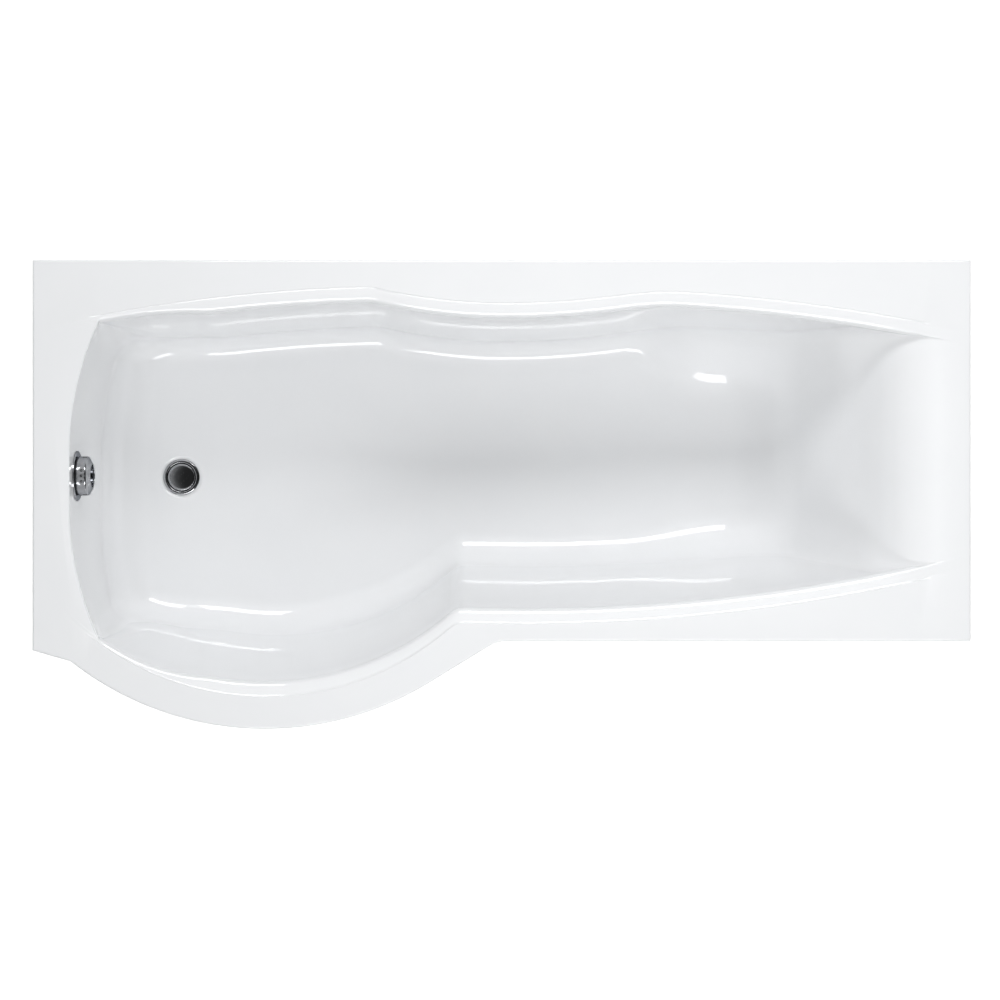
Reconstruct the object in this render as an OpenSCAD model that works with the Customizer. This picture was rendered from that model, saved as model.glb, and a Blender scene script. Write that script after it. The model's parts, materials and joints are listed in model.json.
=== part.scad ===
// P shaped shower bath, 1700 x 850 mm, on its cradle with waste and overflow.
// Seen from above, the showering end is at -X and the wall side is +Y.

/* [Bath] */
// Overall length of the bath
length = 1700; // [1500:10:1800]
// Overall width at the round showering end
width = 850; // [800:5:900]
// Width of the bathing half
head_width = 691; // [660:1:720]
// Width of the tap end beside the round bulge
tap_width = 708; // [680:1:730]
// Height of the rim above the floor of the room
rim_height = 550; // [500:5:600]
// Depth of the bath from the rim to the waste
depth = 400; // [340:5:420]
// Drop of the bath floor from the foot of the backrest to the waste
floor_fall = 10; // [4:1:16]
// Thickness of the reinforced shell
shell_t = 6; // [4:0.5:8]
// Height of the down-turned edge around the rim
skirt_h = 30; // [20:1:45]
// Rounding of the outer rim edge
edge_r = 5; // [3:0.5:8]

/* [Showering end] */
// Radius of the round bulge
bulge_r = 570; // [540:5:600]
// Distance of the bulge's centre from the middle of the bath
bulge_x = 428; // [400:2:450]
// Width of the rim around the bulge
bulge_rim = 58; // [50:1:70]
// Angle at which the bulge runs straight towards the bathing half
bulge_exit = 31.5; // [28:0.5:35]

/* [Basin outline] */
// Radius of the long back crease
back_crease_r = 3000; // [2600:50:3600]
// Narrowest rim width behind the basin
back_rim = 47; // [40:1:60]
// How far the waist of the back crease comes in
waist_in = 30; // [15:1:40]
// Radius of the long front crease
front_crease_r = 3300; // [2900:50:3800]
// Narrowest rim width in front of the bathing half
front_rim = 31; // [24:1:45]
// Distance of the tap-end edge from the end of the bath
tap_rim = 63; // [56:1:80]
// How far the tap-end edge bows outwards
tap_bow = 60; // [40:2:70]
// Dip of the tap ledge towards the basin
ledge_dip = 3; // [2:0.5:8]
// Distance of the backrest's top from the head end
head_rim = 28; // [20:1:60]

/* [Basin walls] */
// Width of the sloping shoulder inside the crease
band_w = 22; // [16:1:28]
// Fall of the sloping shoulder
band_fall = 8; // [5:0.5:12]
// Height of the crisp step at the crease
crease_step = 1.2; // [0.6:0.1:2]
// Rounding from the shoulder into the wall
roll_r = 12; // [10:0.5:18]
// Draft of the back wall
back_draft = 4.5; // [3:0.5:8]
// Radius between the back wall and the floor
back_cove = 50; // [40:1:70]
// Draft of the front wall
front_draft = 12; // [8:0.5:14]
// Radius between the front wall and the floor
front_cove = 70; // [55:1:85]
// Radius between the side walls and the floor at the foot of the backrest
corner_cove = 150; // [80:5:160]
// Cove of the floor's front corner at the backrest
front_corner_cove = 95; // [75:5:150]
// Draft of the tap-end wall
tap_draft = 4; // [3:0.5:8]
// Rounding from the tap ledge into its wall
tap_roll = 4; // [3:0.5:8]
// Radius between the tap-end wall and the floor
tap_cove = 100; // [80:1:115]
// Slope of the backrest
backrest_slope = 60; // [56:0.5:64]
// Rounding from the backrest into the rim
backrest_roll = 150; // [120:5:170]
// Radius between the backrest and the floor
backrest_cove = 190; // [160:5:210]

/* [Support] */
// Thickness of the base board
board_t = 18; // [12:1:22]
// Distance of the tap cradle from the tap end of the base board
cradle_tap_in = 130; // [90:5:180]
// Distance of the head cradle from the head end of the base board
cradle_head_in = 50; // [30:5:120]
// Width of the cradle channel
channel_w = 40; // [34:1:50]
// Height of the cradle channel
channel_h = 25; // [20:1:30]
// Thickness of the channel's steel
channel_t = 2.5; // [2:0.25:4]
// Diameter of the foot studs
stud_d = 10; // [8:1:12]
// Diameter of the foot pads
pad_d = 50; // [40:1:60]
// Height of the foot pads
pad_h = 20; // [16:1:26]
// Width of the rim battens
batten_w = 26; // [20:1:28]
// Height of the rim battens
batten_h = 24; // [18:1:26]
// Distance of each wall bracket from the middle of the bath
bracket_x = 500; // [400:10:560]
// Distance between the two wall holes of a bracket
bracket_pitch = 30; // [20:1:36]
// Diameter of the wall holes of a bracket
bracket_hole = 6.5; // [5:0.5:8]

/* [Waste] */
// Distance of the waste from the tap end
waste_from_end = 232; // [220:2:260]
// Offset of the waste and overflow towards the wall side
drain_y = 34; // [20:1:45]
// Diameter of the waste flange
flange_d = 70; // [66:1:76]
// Diameter of the plug cap
plug_d = 52; // [49:0.5:53]
// Lift of the plug
plug_lift = 10; // [6:0.5:12]
// Outside diameter of the outlet thread
outlet_d = 47.8; // [42:0.1:50]
// Bore of the outlet
outlet_bore = 39; // [34:0.5:41]
// Length of the outlet tail
outlet_l = 28; // [20:1:32]

/* [Overflow] */
// Distance of the overflow's centre below the rim
overflow_drop = 75; // [65:1:95]
// Diameter of the overflow rose
rose_d = 92; // [86:1:96]
// Diameter of the overflow control
knob_d = 72; // [66:1:76]
// Height of the overflow control above the wall
knob_h = 29; // [26:1:34]
// Number of grip slots in each group
slot_count = 3; // [2:1:4]
// Outside diameter of the overflow hose
hose_d = 28; // [24:0.5:32]
// Bore of the overflow hose
hose_bore = 20; // [16:0.5:21]
// Diameter of the control cable's sheath
cable_d = 5; // [4:0.5:6]

/* [Hidden] */
$fn = 64;

// Clearance of a piece from the seat it is bonded, screwed or clamped to
seat = 0.3;
// Radial clearance of a turning or sliding fit
running = 0.08;
// Small overlap that makes cuts run clean through
eps = 0.5;

// ---- Outlines in plan ----------------------------------------------------
x_tap = -length / 2;
x_head = length / 2;
y_back = width / 2;
y_head_front = y_back - head_width;
y_tap_front = y_back - tap_width;
bulge_c = [-bulge_x, bulge_r - width / 2];
fillet_tap = 16;
fillet_bulge = 10;
fillet_waist = 12;
fillet_peak = 4;

// Lower of two heights, with a rounded change-over k high
function low(a, b, k) = min(a, b) - pow(max(k - abs(a - b), 0), 2) / (4 * k);
// Front edge of a circle about c
function circle_y(x, c, r) = c[1] - sqrt(max(r * r - pow(x - c[0], 2), 0));
// Crown of a long arc through its highest point
function crown_y(x, top, r) = top[1] - r + sqrt(max(r * r - pow(x - top[0], 2), 0));

exit_x = bulge_c[0] + bulge_r * sin(bulge_exit);
exit_y = bulge_c[1] - bulge_r * cos(bulge_exit);
function bulge_y(x) = x < exit_x ? circle_y(x, bulge_c, bulge_r)
                                 : exit_y + (x - exit_x) * tan(bulge_exit);
function front_edge(x) = x < bulge_c[0] ? low(bulge_y(x), y_tap_front, fillet_tap)
                                        : low(bulge_y(x), y_head_front, fillet_bulge);

// The back crease has two crowned arcs with a waist between them
waist_x = 5;
peak_tap = [-170, y_back - back_rim];
peak_drop = 4;
peak_head = [130, y_back - back_rim - peak_drop];
head_crease_r = back_crease_r + 300;
waist_y = y_back - back_rim - waist_in;
waist_r_tap = 1000;
waist_r_head = 1600;
function waist_arc(x, r) =
    let (q = min(abs(x - waist_x), 0.6 * r))
    waist_y + r - sqrt(r * r - q * q);
function back_crease(x) = x < waist_x
    ? low(crown_y(x, peak_tap, back_crease_r), waist_arc(x, waist_r_tap), fillet_peak)
    : low(crown_y(x, peak_head, head_crease_r), waist_arc(x, waist_r_head), fillet_waist);

front_low_x = 40;
front_low = y_head_front + front_rim;
function front_crease(x) = low(circle_y(x, bulge_c, bulge_r - bulge_rim),
    -crown_y(x, [front_low_x, -front_low], front_crease_r), fillet_waist);

// ---- Wall profile --------------------------------------------------------
roll_steps = 3;
cove_steps = 5;

// Straight length of a wall d deep between its roll and its cove
function wall_len(d, r, c, a, s) = (d - r * (cos(s) - cos(a)) - c * (1 - cos(a))) / sin(a);
// Points [inwards, down] of a wall at slope a that rolls over from slope s and ends in a cove
function wall_line(d, r, c, a, s) =
    let (n = wall_len(d, r, c, a, s), x1 = r * (sin(a) - sin(s)), z1 = r * (cos(s) - cos(a)),
         x2 = x1 + n * cos(a), z2 = z1 + n * sin(a))
    concat([for (i = [1:roll_steps])
               let (q = s + (a - s) * i / roll_steps)
               [r * (sin(q) - sin(s)), r * (cos(s) - cos(q))]],
           [[(x1 + x2) / 2, (z1 + z2) / 2]],
           [for (i = [0:cove_steps]) let (q = a * (1 - i / cove_steps))
               [x2 + c * (sin(a) - sin(q)), z2 + c * (cos(q) - cos(a))]]);
// Slope at which the shoulder ends
band_end = 26;
// The same for a shallow wall, whose roll and cove shrink with its depth
function side_line(d, c, draft) =
    let (a = 90 - draft, limit = d / (1 - cos(a)), r = min(roll_r, 0.45 * limit))
    wall_line(d, r, min(c, 0.95 * limit - r), a, band_end);

// Least depth for which a side wall is drawn; shallower ones are this one flattened
least_d = 12;
// Depth at which the step and the shoulder reach their full height
full_d = 60;
step_run = 1.5;
// Points [inwards, down] from the crease to the floor of a basin d deep, where step is
// the drop at the crease
function side_profile(d, c, draft, step) =
    let (e = max(d, least_d), f = d / e, k = min(1, e / full_d), fall = band_fall * k)
    concat([[0, 0], [step_run, f * k * step], [band_w, f * fall]],
           [for (p = side_line(e - fall, c, draft)) [band_w + p[0], f * (fall + p[1])]]);

// ---- Stations along the bath ---------------------------------------------
waste_x = x_tap + waste_from_end;
edge_x = x_tap + tap_rim;
head_x = x_head - head_rim;
tip_gap = 19;
tip_skew = 25;
foot_bow = 24;
tap_wall = wall_line(depth - ledge_dip, tap_roll, tap_cove, 90 - tap_draft, 0);
tap_run = tap_wall[len(tap_wall) - 1][0];
foot_x = edge_x + tap_run;
head_wall = wall_line(depth - floor_fall, backrest_roll, backrest_cove, backrest_slope, 0);
head_run = head_wall[len(head_wall) - 1][0];
rest_x = head_x - head_run;
slope = atan(floor_fall / (rest_x - waste_x));
function floor_d(x) = depth - (x - waste_x) * tan(slope);
foot_drop = floor_d(foot_x) - depth;

// The side coves widen towards the backrest, so the floor's corners there are round
corner_l = 170;
function cove_at(x, c, corner) =
    let (t = max(0, min(1, (x - rest_x + corner_l) / corner_l)))
    c + (corner - c) * t * t * (3 - 2 * t);

// Spacing of the stations along the floor, closer where the front outline turns
turn_x0 = -140;
turn_x1 = 20;
step_plain = 42;
step_turn = 20;
function spread(a, b, step) = let (n = ceil((b - a) / step)) [for (i = [1:n]) a + (b - a) * i / n];
floor_xs = concat(spread(foot_x, turn_x0, step_plain), spread(turn_x0, turn_x1, step_turn),
                  spread(turn_x1, rest_x, step_plain));

// Each station is [x in the middle, bow, skew, basin depth]
stations = concat(
    [[x_tap, 0, 0, 0],
     [edge_x - tip_gap, 0, -tip_skew, 0],
     [edge_x - tip_gap / 2, tap_bow / 2, -tip_skew / 2, ledge_dip / 4],
     [edge_x, tap_bow, 0, ledge_dip]],
    [for (p = tap_wall) let (f = p[0] / tap_run)
        [edge_x + p[0], tap_bow + (foot_bow - tap_bow) * f, 0,
         ledge_dip + p[1] * (1 + foot_drop / (depth - ledge_dip))]],
    [for (x = floor_xs) [x, foot_bow * pow(max(0, (turn_x0 - x) / (turn_x0 - foot_x)), 2), 0, floor_d(x)]],
    [for (i = [len(head_wall) - 2:-1:0]) [head_x - head_wall[i][0], 0, 0, head_wall[i][1]]],
    [[head_x, 0, 0, 0], [x_head, 0, 0, 0]]);

// Lines across bow towards the ends, but the middle of the tap-end wall is a flat pad
// for the overflow
pad_beside = 5;
edge_half = (back_crease(edge_x + tap_bow) - front_crease(edge_x + tap_bow)) / 2;
pad_w = (rose_d / 2 + pad_beside) / edge_half;
function bowed(w) = pow(max(abs(w) - pad_w, 0) / (1 - pad_w), 2);

// Lines along the floor, as shares of its width; the middle ones pass beside the pad
floor_lines = [0.18, 0.37, 0.63, 0.82];
// One cross-section as points, from the wall side to the front
function section(s, step) =
    let (xb = s[0] + s[1] + s[2], xf = s[0] + s[1] - s[2], yb = back_crease(xb), yf = front_crease(xf),
         cb = cove_at(s[0], back_cove, corner_cove), cf = cove_at(s[0], front_cove, front_corner_cove),
         back = [for (p = side_profile(s[3], cb, back_draft, step)) [yb - p[0], -p[1]]],
         front = [for (p = side_profile(s[3], cf, front_draft, step)) [yf + p[0], -p[1]]],
         b = back[len(back) - 1], f = front[len(front) - 1],
         across = concat([[y_back, 0]], back,
             [for (t = floor_lines) b + (f - b) * t],
             [for (i = [len(front) - 1:-1:0]) front[i]], [[front_edge(xf), 0]]))
    [for (p = across) let (w = max(-1, min(1, (2 * p[0] - yb - yf) / (yb - yf))))
        [s[0] + s[1] * bowed(w) + s[2] * w, p[0], rim_height + p[1]]];

// ---- Shell as one closed skin --------------------------------------------
top_skin = [for (s = stations) section(s, crease_step)];
base_skin = [for (s = stations) section(s, band_fall * step_run / band_w)];
nu = len(top_skin);
nv = len(top_skin[0]);
function unit(v) = v / norm(v);
function up_normal(g, u, v) = unit(cross(g[u][v + 1] - g[u][v - 1], g[u + 1][v] - g[u - 1][v]));
under_skin = [for (u = [0:nu - 1]) [for (v = [0:nv - 1])
    u == 0 || v == 0 || u == nu - 1 || v == nv - 1 ? base_skin[u][v]
        : base_skin[u][v] - shell_t * up_normal(base_skin, u, v)]];

// The outer loop of the grid, clockwise from above
loop = concat([for (u = [0:nu - 1]) [u, 0]], [for (v = [1:nv - 1]) [nu - 1, v]],
              [for (u = [nu - 2:-1:0]) [u, nv - 1]], [for (v = [nv - 2:-1:1]) [0, v]]);
loop_n = len(loop);
loop_xy = [for (q = loop) let (p = top_skin[q[0]][q[1]]) [p[0], p[1]]];
function right_of(v) = [v[1], -v[0]];
loop_in = [for (i = [0:loop_n - 1])
    let (p = loop_xy[i], a = right_of(unit(p - loop_xy[(i + loop_n - 1) % loop_n])),
         b = right_of(unit(loop_xy[(i + 1) % loop_n] - p)))
    (a + b) / (1 + a * b)];
// The loop moved inwards by d, at z below the rim
function ring(d, z) = [for (i = [0:loop_n - 1])
    let (p = loop_xy[i] + d * loop_in[i])
    [p[0], p[1], rim_height - z]];
round_mid = 1 - sqrt(0.5);
skirt_rings = [ring(edge_r * round_mid, edge_r * round_mid), ring(0, edge_r), ring(0, skirt_h),
               ring(shell_t, skirt_h)];
top_ring = ring(edge_r, 0);
under_ring = ring(shell_t, shell_t);

// Number of a grid point in the loop, or -1 inside the grid
function loop_at(u, v) = v == 0 ? u : u == nu - 1 ? nu - 1 + v
    : v == nv - 1 ? nu + nv - 2 + (nu - 1 - u) : u == 0 ? 2 * nu + nv - 3 + (nv - 1 - v) : -1;
function edged(skin, r) = [for (u = [0:nu - 1]) for (v = [0:nv - 1])
    let (i = loop_at(u, v)) i < 0 ? skin[u][v] : r[i]];
grid_n = nu * nv;
shell_points = concat(edged(top_skin, top_ring), edged(under_skin, under_ring),
                      [for (r = skirt_rings) for (p = r) p]);
function grid_at(side, u, v) = side * grid_n + u * nv + v;
function top_at(i) = grid_at(0, loop[i][0], loop[i][1]);
function under_at(i) = grid_at(1, loop[i][0], loop[i][1]);
ring_n = len(skirt_rings);
function ring_at(k, i) = k < 0 ? top_at(i) : k == ring_n ? under_at(i) : 2 * grid_n + k * loop_n + i;
grid_faces = [for (u = [0:nu - 2]) for (v = [0:nv - 2]) for (half = [0, 1])
    let (a = [u, v], b = [u + 1, v], c = [u + 1, v + 1], d = [u, v + 1])
    half == 0 ? [a, b, c] : [a, c, d]];
shell_faces = concat(
    [for (f = grid_faces) [for (q = f) grid_at(0, q[0], q[1])]],
    [for (f = grid_faces) [for (i = [2:-1:0]) grid_at(1, f[i][0], f[i][1])]],
    [for (k = [-1:ring_n - 1]) for (i = [0:loop_n - 1]) for (half = [0, 1])
        let (j = (i + 1) % loop_n, a = ring_at(k, i), b = ring_at(k + 1, i), c = ring_at(k + 1, j),
             d = ring_at(k, j)) half == 0 ? [a, b, c] : [a, c, d]]);

// ---- Places that the fittings share --------------------------------------
drain_z = rim_height - depth;
// Tap-end wall at the overflow
overflow_d = overflow_drop - ledge_dip;
overflow_x = edge_x + tap_roll * cos(tap_draft)
    + (overflow_d - tap_roll * (1 - sin(tap_draft))) * tan(tap_draft);
overflow_z = rim_height - overflow_drop;
module at_waste() { translate([waste_x, drain_y, drain_z]) children(); }
module at_overflow() {
    translate([overflow_x, drain_y, overflow_z]) rotate([0, 90 - tap_draft, 0]) children();
}
// The plane of the floor's underside at the waste, level along Y
module under_floor() {
    translate([waste_x, 0, rim_height - depth - shell_t / cos(slope)]) rotate([0, -slope, 0]) children();
}
function along(x) = (x - waste_x) / cos(slope);
function under_z(x) = rim_height - floor_d(x) - shell_t / cos(slope);

waste_hole_r = 26;
recess_r = flange_d / 2 + 9;
recess_d = 2.5;
recess_lip = 6;
neck_r = 25;
body_r = 37;
module bath_shell() {
    color("white")
    difference() {
        polyhedron(points = shell_points, faces = shell_faces, convexity = 6);
        at_waste() {
            translate([0, 0, -4 * shell_t]) cylinder(r = waste_hole_r, h = 6 * shell_t);
            rotate_extrude() polygon([[0, -recess_d], [recess_r - recess_lip, -recess_d],
                [recess_r, 0], [recess_r + recess_lip, recess_lip], [0, recess_lip]]);
        }
        at_overflow() translate([0, 0, -4 * shell_t]) cylinder(r = waste_hole_r, h = 6 * shell_t);
    }
}

// ---- Base board and rim battens ------------------------------------------
screw_r = 2.2;
screw_l = 16;
centre_screw = 32;
// The board runs from beside the waste to the foot of the backrest, and reaches further
// to the front under the round end
board_x = [waste_x + body_r + 45, rest_x - 20];
board_y = [y_head_front + 171, y_back - 150];
board_bulge_l = 340;
board_bulge_y = -width / 2 + 210;
board_round = 30;
// Feet at [x, y]: two on each cradle, and one in the middle
cradle_x = [board_x[0] + cradle_tap_in, board_x[1] - cradle_head_in];
foot_back_y = board_y[1] + 25;
foot_at = [[cradle_x[0], foot_back_y], [cradle_x[0], board_bulge_y - 70],
           [cradle_x[1], foot_back_y], [cradle_x[1], board_y[0] - 45],
           [(cradle_x[0] + cradle_x[1]) / 2, (board_y[0] + board_y[1]) / 2]];
// Flat plate between two corners, with rounded corners in plan
module plate(lo, hi, h, r) {
    for (x = [lo[0] + r, hi[0] - r]) for (y = [lo[1] + r, hi[1] - r])
        translate([x, y, 0]) cylinder(r = r, h = h);
    translate([lo[0] + r, lo[1], 0]) cube([hi[0] - lo[0] - 2 * r, hi[1] - lo[1], h]);
    translate([lo[0], lo[1] + r, 0]) cube([hi[0] - lo[0], hi[1] - lo[1] - 2 * r, h]);
}
stud_hole_r = stud_d / 2 + 1;
module base_board() {
    color("burlywood")
    under_floor() translate([0, 0, -seat - board_t]) difference() {
        union() {
            plate([along(board_x[0]), board_y[0]], [along(board_x[1]), board_y[1]], board_t, board_round);
            plate([along(board_x[0]), board_bulge_y], [along(board_x[0] + board_bulge_l), 0],
                  board_t, board_round);
        }
        translate([along(foot_at[4][0]), foot_at[4][1], -eps])
            cylinder(r = stud_hole_r + 2, h = board_t + 2 * eps);
        for (p = concat(screw_at(foot_at[0]), screw_at(foot_at[2]), centre_screws))
            translate([p[0], p[1], -eps]) cylinder(r = screw_r + running, h = screw_l);
    }
}

rim_under = rim_height - shell_t - seat;
batten_inset = shell_t + 3;
module batten(x0, y0, lx, ly) {
    color("tan") translate([x0, y0, rim_under - batten_h]) cube([lx, ly, batten_h]);
}
batten_y = y_back - batten_inset - batten_w;
back_batten_x = [x_tap + 190, x_head - 270];
front_batten_x = [exit_x + 220, x_head - 210];
// The rim is narrower at the two ends and in front
slim_w = 18;
end_batten_y = [y_tap_front + 93, y_back - 225];
end_batten_l = end_batten_y[1] - end_batten_y[0];
module back_batten() {
    difference() {
        batten(back_batten_x[0], batten_y, back_batten_x[1] - back_batten_x[0], batten_w);
        for (x = [-bracket_x, bracket_x]) for (i = [-1, 1])
            translate([x + i * bracket_pitch / 2, batten_y + batten_w / 2, rim_under - batten_h - eps])
                cylinder(r = screw_r + running, h = screw_l);
    }
}
module front_batten() {
    batten(front_batten_x[0], y_head_front + batten_inset, front_batten_x[1] - front_batten_x[0], slim_w);
}
module tap_batten() { batten(x_tap + batten_inset, end_batten_y[0], slim_w, end_batten_l); }
module head_batten() {
    batten(x_head - batten_inset - slim_w, end_batten_y[0], slim_w, end_batten_l);
}

// ---- Wall brackets -------------------------------------------------------
bracket_w = 50;
bracket_t = 3;
bracket_leg = 62;
bracket_top = rim_under - batten_h - seat;
bracket_foot = 30;
bracket_hole_z = bracket_top - 36;
module wall_bracket(x) {
    color("silver") translate([x, 0, 0]) difference() {
        union() {
            translate([-bracket_w / 2, y_back - bracket_t, bracket_top - bracket_leg])
                cube([bracket_w, bracket_t, bracket_leg]);
            translate([-bracket_w / 2, y_back - bracket_t - bracket_foot, bracket_top - bracket_t])
                cube([bracket_w, bracket_foot + eps, bracket_t]);
        }
        for (i = [-1, 1]) {
            translate([i * bracket_pitch / 2, y_back + eps, bracket_hole_z]) rotate([90, 0, 0])
                cylinder(d = bracket_hole, h = bracket_t + 2 * eps);
            translate([i * bracket_pitch / 2, batten_y + batten_w / 2, bracket_top - bracket_t - eps])
                cylinder(r = screw_r + running, h = bracket_t + 2 * eps);
        }
    }
}
module wall_bracket_left() { wall_bracket(-bracket_x); }
module wall_bracket_right() { wall_bracket(bracket_x); }
screw_head_r = 4.5;
screw_head_h = 2.4;
// Pan-headed screw under a plate, pointing up
module screw(l) {
    rotate_extrude() polygon([[0, -screw_head_h], [screw_head_r - screw_head_h / 2, -screw_head_h],
        [screw_head_r, -screw_head_h / 2], [screw_head_r, 0], [screw_r, 0],
        [screw_r, l - screw_r], [0, l]]);
}
module bracket_screws() {
    color("silver") for (x = [-bracket_x, bracket_x]) for (i = [-1, 1])
        translate([x + i * bracket_pitch / 2, batten_y + batten_w / 2, bracket_top - bracket_t - running])
            screw(screw_l);
}

// ---- Cradles, studs and pads ---------------------------------------------
cradle_over = 26;
board_under = -2 * seat - board_t;
// Channel open downwards across the bath, between two feet
module cradle(a, b) {
    y0 = b[1] - cradle_over;
    y1 = a[1] + cradle_over;
    color("gray") difference() {
        under_floor() translate([along(a[0]) - channel_w / 2, y0, board_under - channel_h]) difference() {
            cube([channel_w, y1 - y0, channel_h]);
            translate([channel_t, -eps, -eps])
                cube([channel_w - 2 * channel_t, y1 - y0 + 2 * eps, channel_h - channel_t + eps]);
        }
        for (f = [a, b]) translate([f[0], f[1], 0]) cylinder(r = stud_hole_r, h = rim_height);
        for (p = screw_at(a)) under_floor() translate([p[0], p[1], board_under - channel_h])
            cylinder(r = screw_r + running, h = channel_h + eps);
    }
}
// Screws of a cradle and of the centre plate, in the plane of the board
screw_edge = 60;
function screw_at(f) = [for (y = [board_y[0] + screw_edge, (board_y[0] + board_y[1]) / 2,
                                  board_y[1] - screw_edge]) [along(f[0]), y]];
centre_screws = [for (i = [-1, 1]) for (j = [-1, 1])
    [along(foot_at[4][0]) + i * centre_screw, foot_at[4][1] + j * centre_screw]];
module cradle_tap() { cradle(foot_at[0], foot_at[1]); }
module cradle_head() { cradle(foot_at[2], foot_at[3]); }
centre_w = 90;
centre_t = 4;
module centre_plate() {
    f = foot_at[4];
    color("gray") difference() {
        under_floor() translate([along(f[0]), f[1], board_under - centre_t])
            plate([-centre_w / 2, -centre_w / 2], [centre_w / 2, centre_w / 2], centre_t, 8);
        translate([f[0], f[1], 0]) cylinder(r = stud_hole_r, h = rim_height);
        for (p = centre_screws) under_floor() translate([p[0], p[1], board_under - centre_t - eps])
            cylinder(r = screw_r + running, h = centre_t + 2 * eps);
    }
}
module cradle_screws() {
    color("silver") {
        for (f = [foot_at[0], foot_at[2]]) for (p = screw_at(f)) under_floor()
            translate([p[0], p[1], board_under - channel_t - running]) screw(screw_l);
        for (p = centre_screws) under_floor()
            translate([p[0], p[1], board_under - centre_t - running]) screw(screw_l);
    }
}
// Height of the steel's top face at a foot
function steel_top(f) = under_z(f[0]) + board_under / cos(slope);
stud_above = 16;
centre_stud_above = 5;
pad_neck_h = 10;
pad_neck_r = stud_d / 2 + 5;
pad_floor = 6;
pad_edge = 2;
module stud(i) {
    f = foot_at[i];
    color("silver") translate([f[0], f[1], pad_floor]) cylinder(d = stud_d,
        h = steel_top(f) + (i == 4 ? centre_stud_above : stud_above) - pad_floor);
}
module pad(i) {
    bore_r = stud_d / 2 + running;
    color("dimgray") translate([foot_at[i][0], foot_at[i][1], 0]) rotate_extrude() polygon([[0, 0],
        [pad_d / 2 - pad_edge, 0], [pad_d / 2, pad_edge], [pad_d / 2, pad_floor],
        [pad_neck_r + 3, pad_h - pad_neck_h], [pad_neck_r, pad_h - pad_neck_h + 3], [pad_neck_r, pad_h],
        [bore_r, pad_h], [bore_r, pad_floor - running], [0, pad_floor - running]]);
}
nut_h = 8;
nut_af = stud_d * 1.6;
module nut(z, af, h, r) {
    translate([0, 0, z]) difference() {
        cylinder(d = af / cos(30), h = h, $fn = 6);
        translate([0, 0, -eps]) cylinder(r = r, h = h + 2 * eps, $fn = 64);
    }
}
// A nut under the steel carries it; on the cradles a lock nut sits above it
module leg_nuts() {
    color("silver") for (i = [0:4]) translate([foot_at[i][0], foot_at[i][1], 0]) {
        t = i == 4 ? centre_t : channel_t;
        nut(steel_top(foot_at[i]) - t - nut_h - seat, nut_af, nut_h, stud_d / 2 + running);
        if (i < 4) nut(steel_top(foot_at[i]) + seat, nut_af, nut_h, stud_d / 2 + running);
    }
}

// ---- Waste ---------------------------------------------------------------
// Heights here are from the top of the floor at the waste
gasket_t = 1;
flange_seat = -recess_d + gasket_t + 0.1;
flange_top = 1.5;
flange_r = flange_d / 2;
mouth_r = flange_r - 7;
throat_r = 22;
throat_z = -6;
neck_end = -26;
guide_z = -24;
guide_h = 4;
stem_r = 3;
drain_holes = 6;
drain_hole_r = 5.4;
module waste_flange() {
    color("silver") at_waste() difference() {
        rotate_extrude($fn = 96) polygon([[flange_r, flange_seat], [flange_r, 0],
            [flange_r - 2.5, flange_top - 0.2], [flange_r - 4, flange_top],
            [mouth_r + 1, flange_top], [mouth_r, flange_top - 0.6],
            [throat_r, throat_z], [throat_r, guide_z + guide_h], [stem_r + running, guide_z + guide_h],
            [stem_r + running, guide_z], [throat_r, guide_z], [throat_r, neck_end], [neck_r, neck_end],
            [neck_r, flange_seat]]);
        for (i = [0:drain_holes - 1]) rotate(i * 360 / drain_holes)
            translate([(stem_r + throat_r + 1) / 2, 0, guide_z - eps])
                cylinder(r = drain_hole_r, h = guide_h + 2 * eps);
    }
}
module flange_gasket() {
    color("dimgray") at_waste() rotate_extrude()
        polygon([[waste_hole_r, -recess_d], [flange_r - 1, -recess_d], [flange_r - 1, -recess_d + gasket_t],
                 [waste_hole_r, -recess_d + gasket_t]]);
}
washer_t = 2;
body_top = -shell_t - washer_t - 2 * seat;
module body_washer() {
    color("dimgray") at_waste() rotate_extrude()
        polygon([[waste_hole_r, body_top + washer_t], [body_r - 1, body_top + washer_t],
                 [body_r - 1, body_top + 0.1], [waste_hole_r, body_top + 0.1]]);
}
body_lip = 5;
chamber_r = 30;
chamber_low = -58;
wall_t = 3;
shoulder_z = -66;
outlet_z = shoulder_z - outlet_l;
inlet_z = -44;
inlet_r = hose_d / 2;
inlet_end = -62;
lever_arm = 24;
lever_z = -50;
lever_rod = 3;
pin_r = 2;
lug_w = 3;
lever_w = 8;
lug_r = 4;
lug_off = lever_w / 2 + seat + lug_w / 2;
chamber_out = chamber_r + wall_t;
shoulder_r = outlet_d / 2 + 3;
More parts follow.
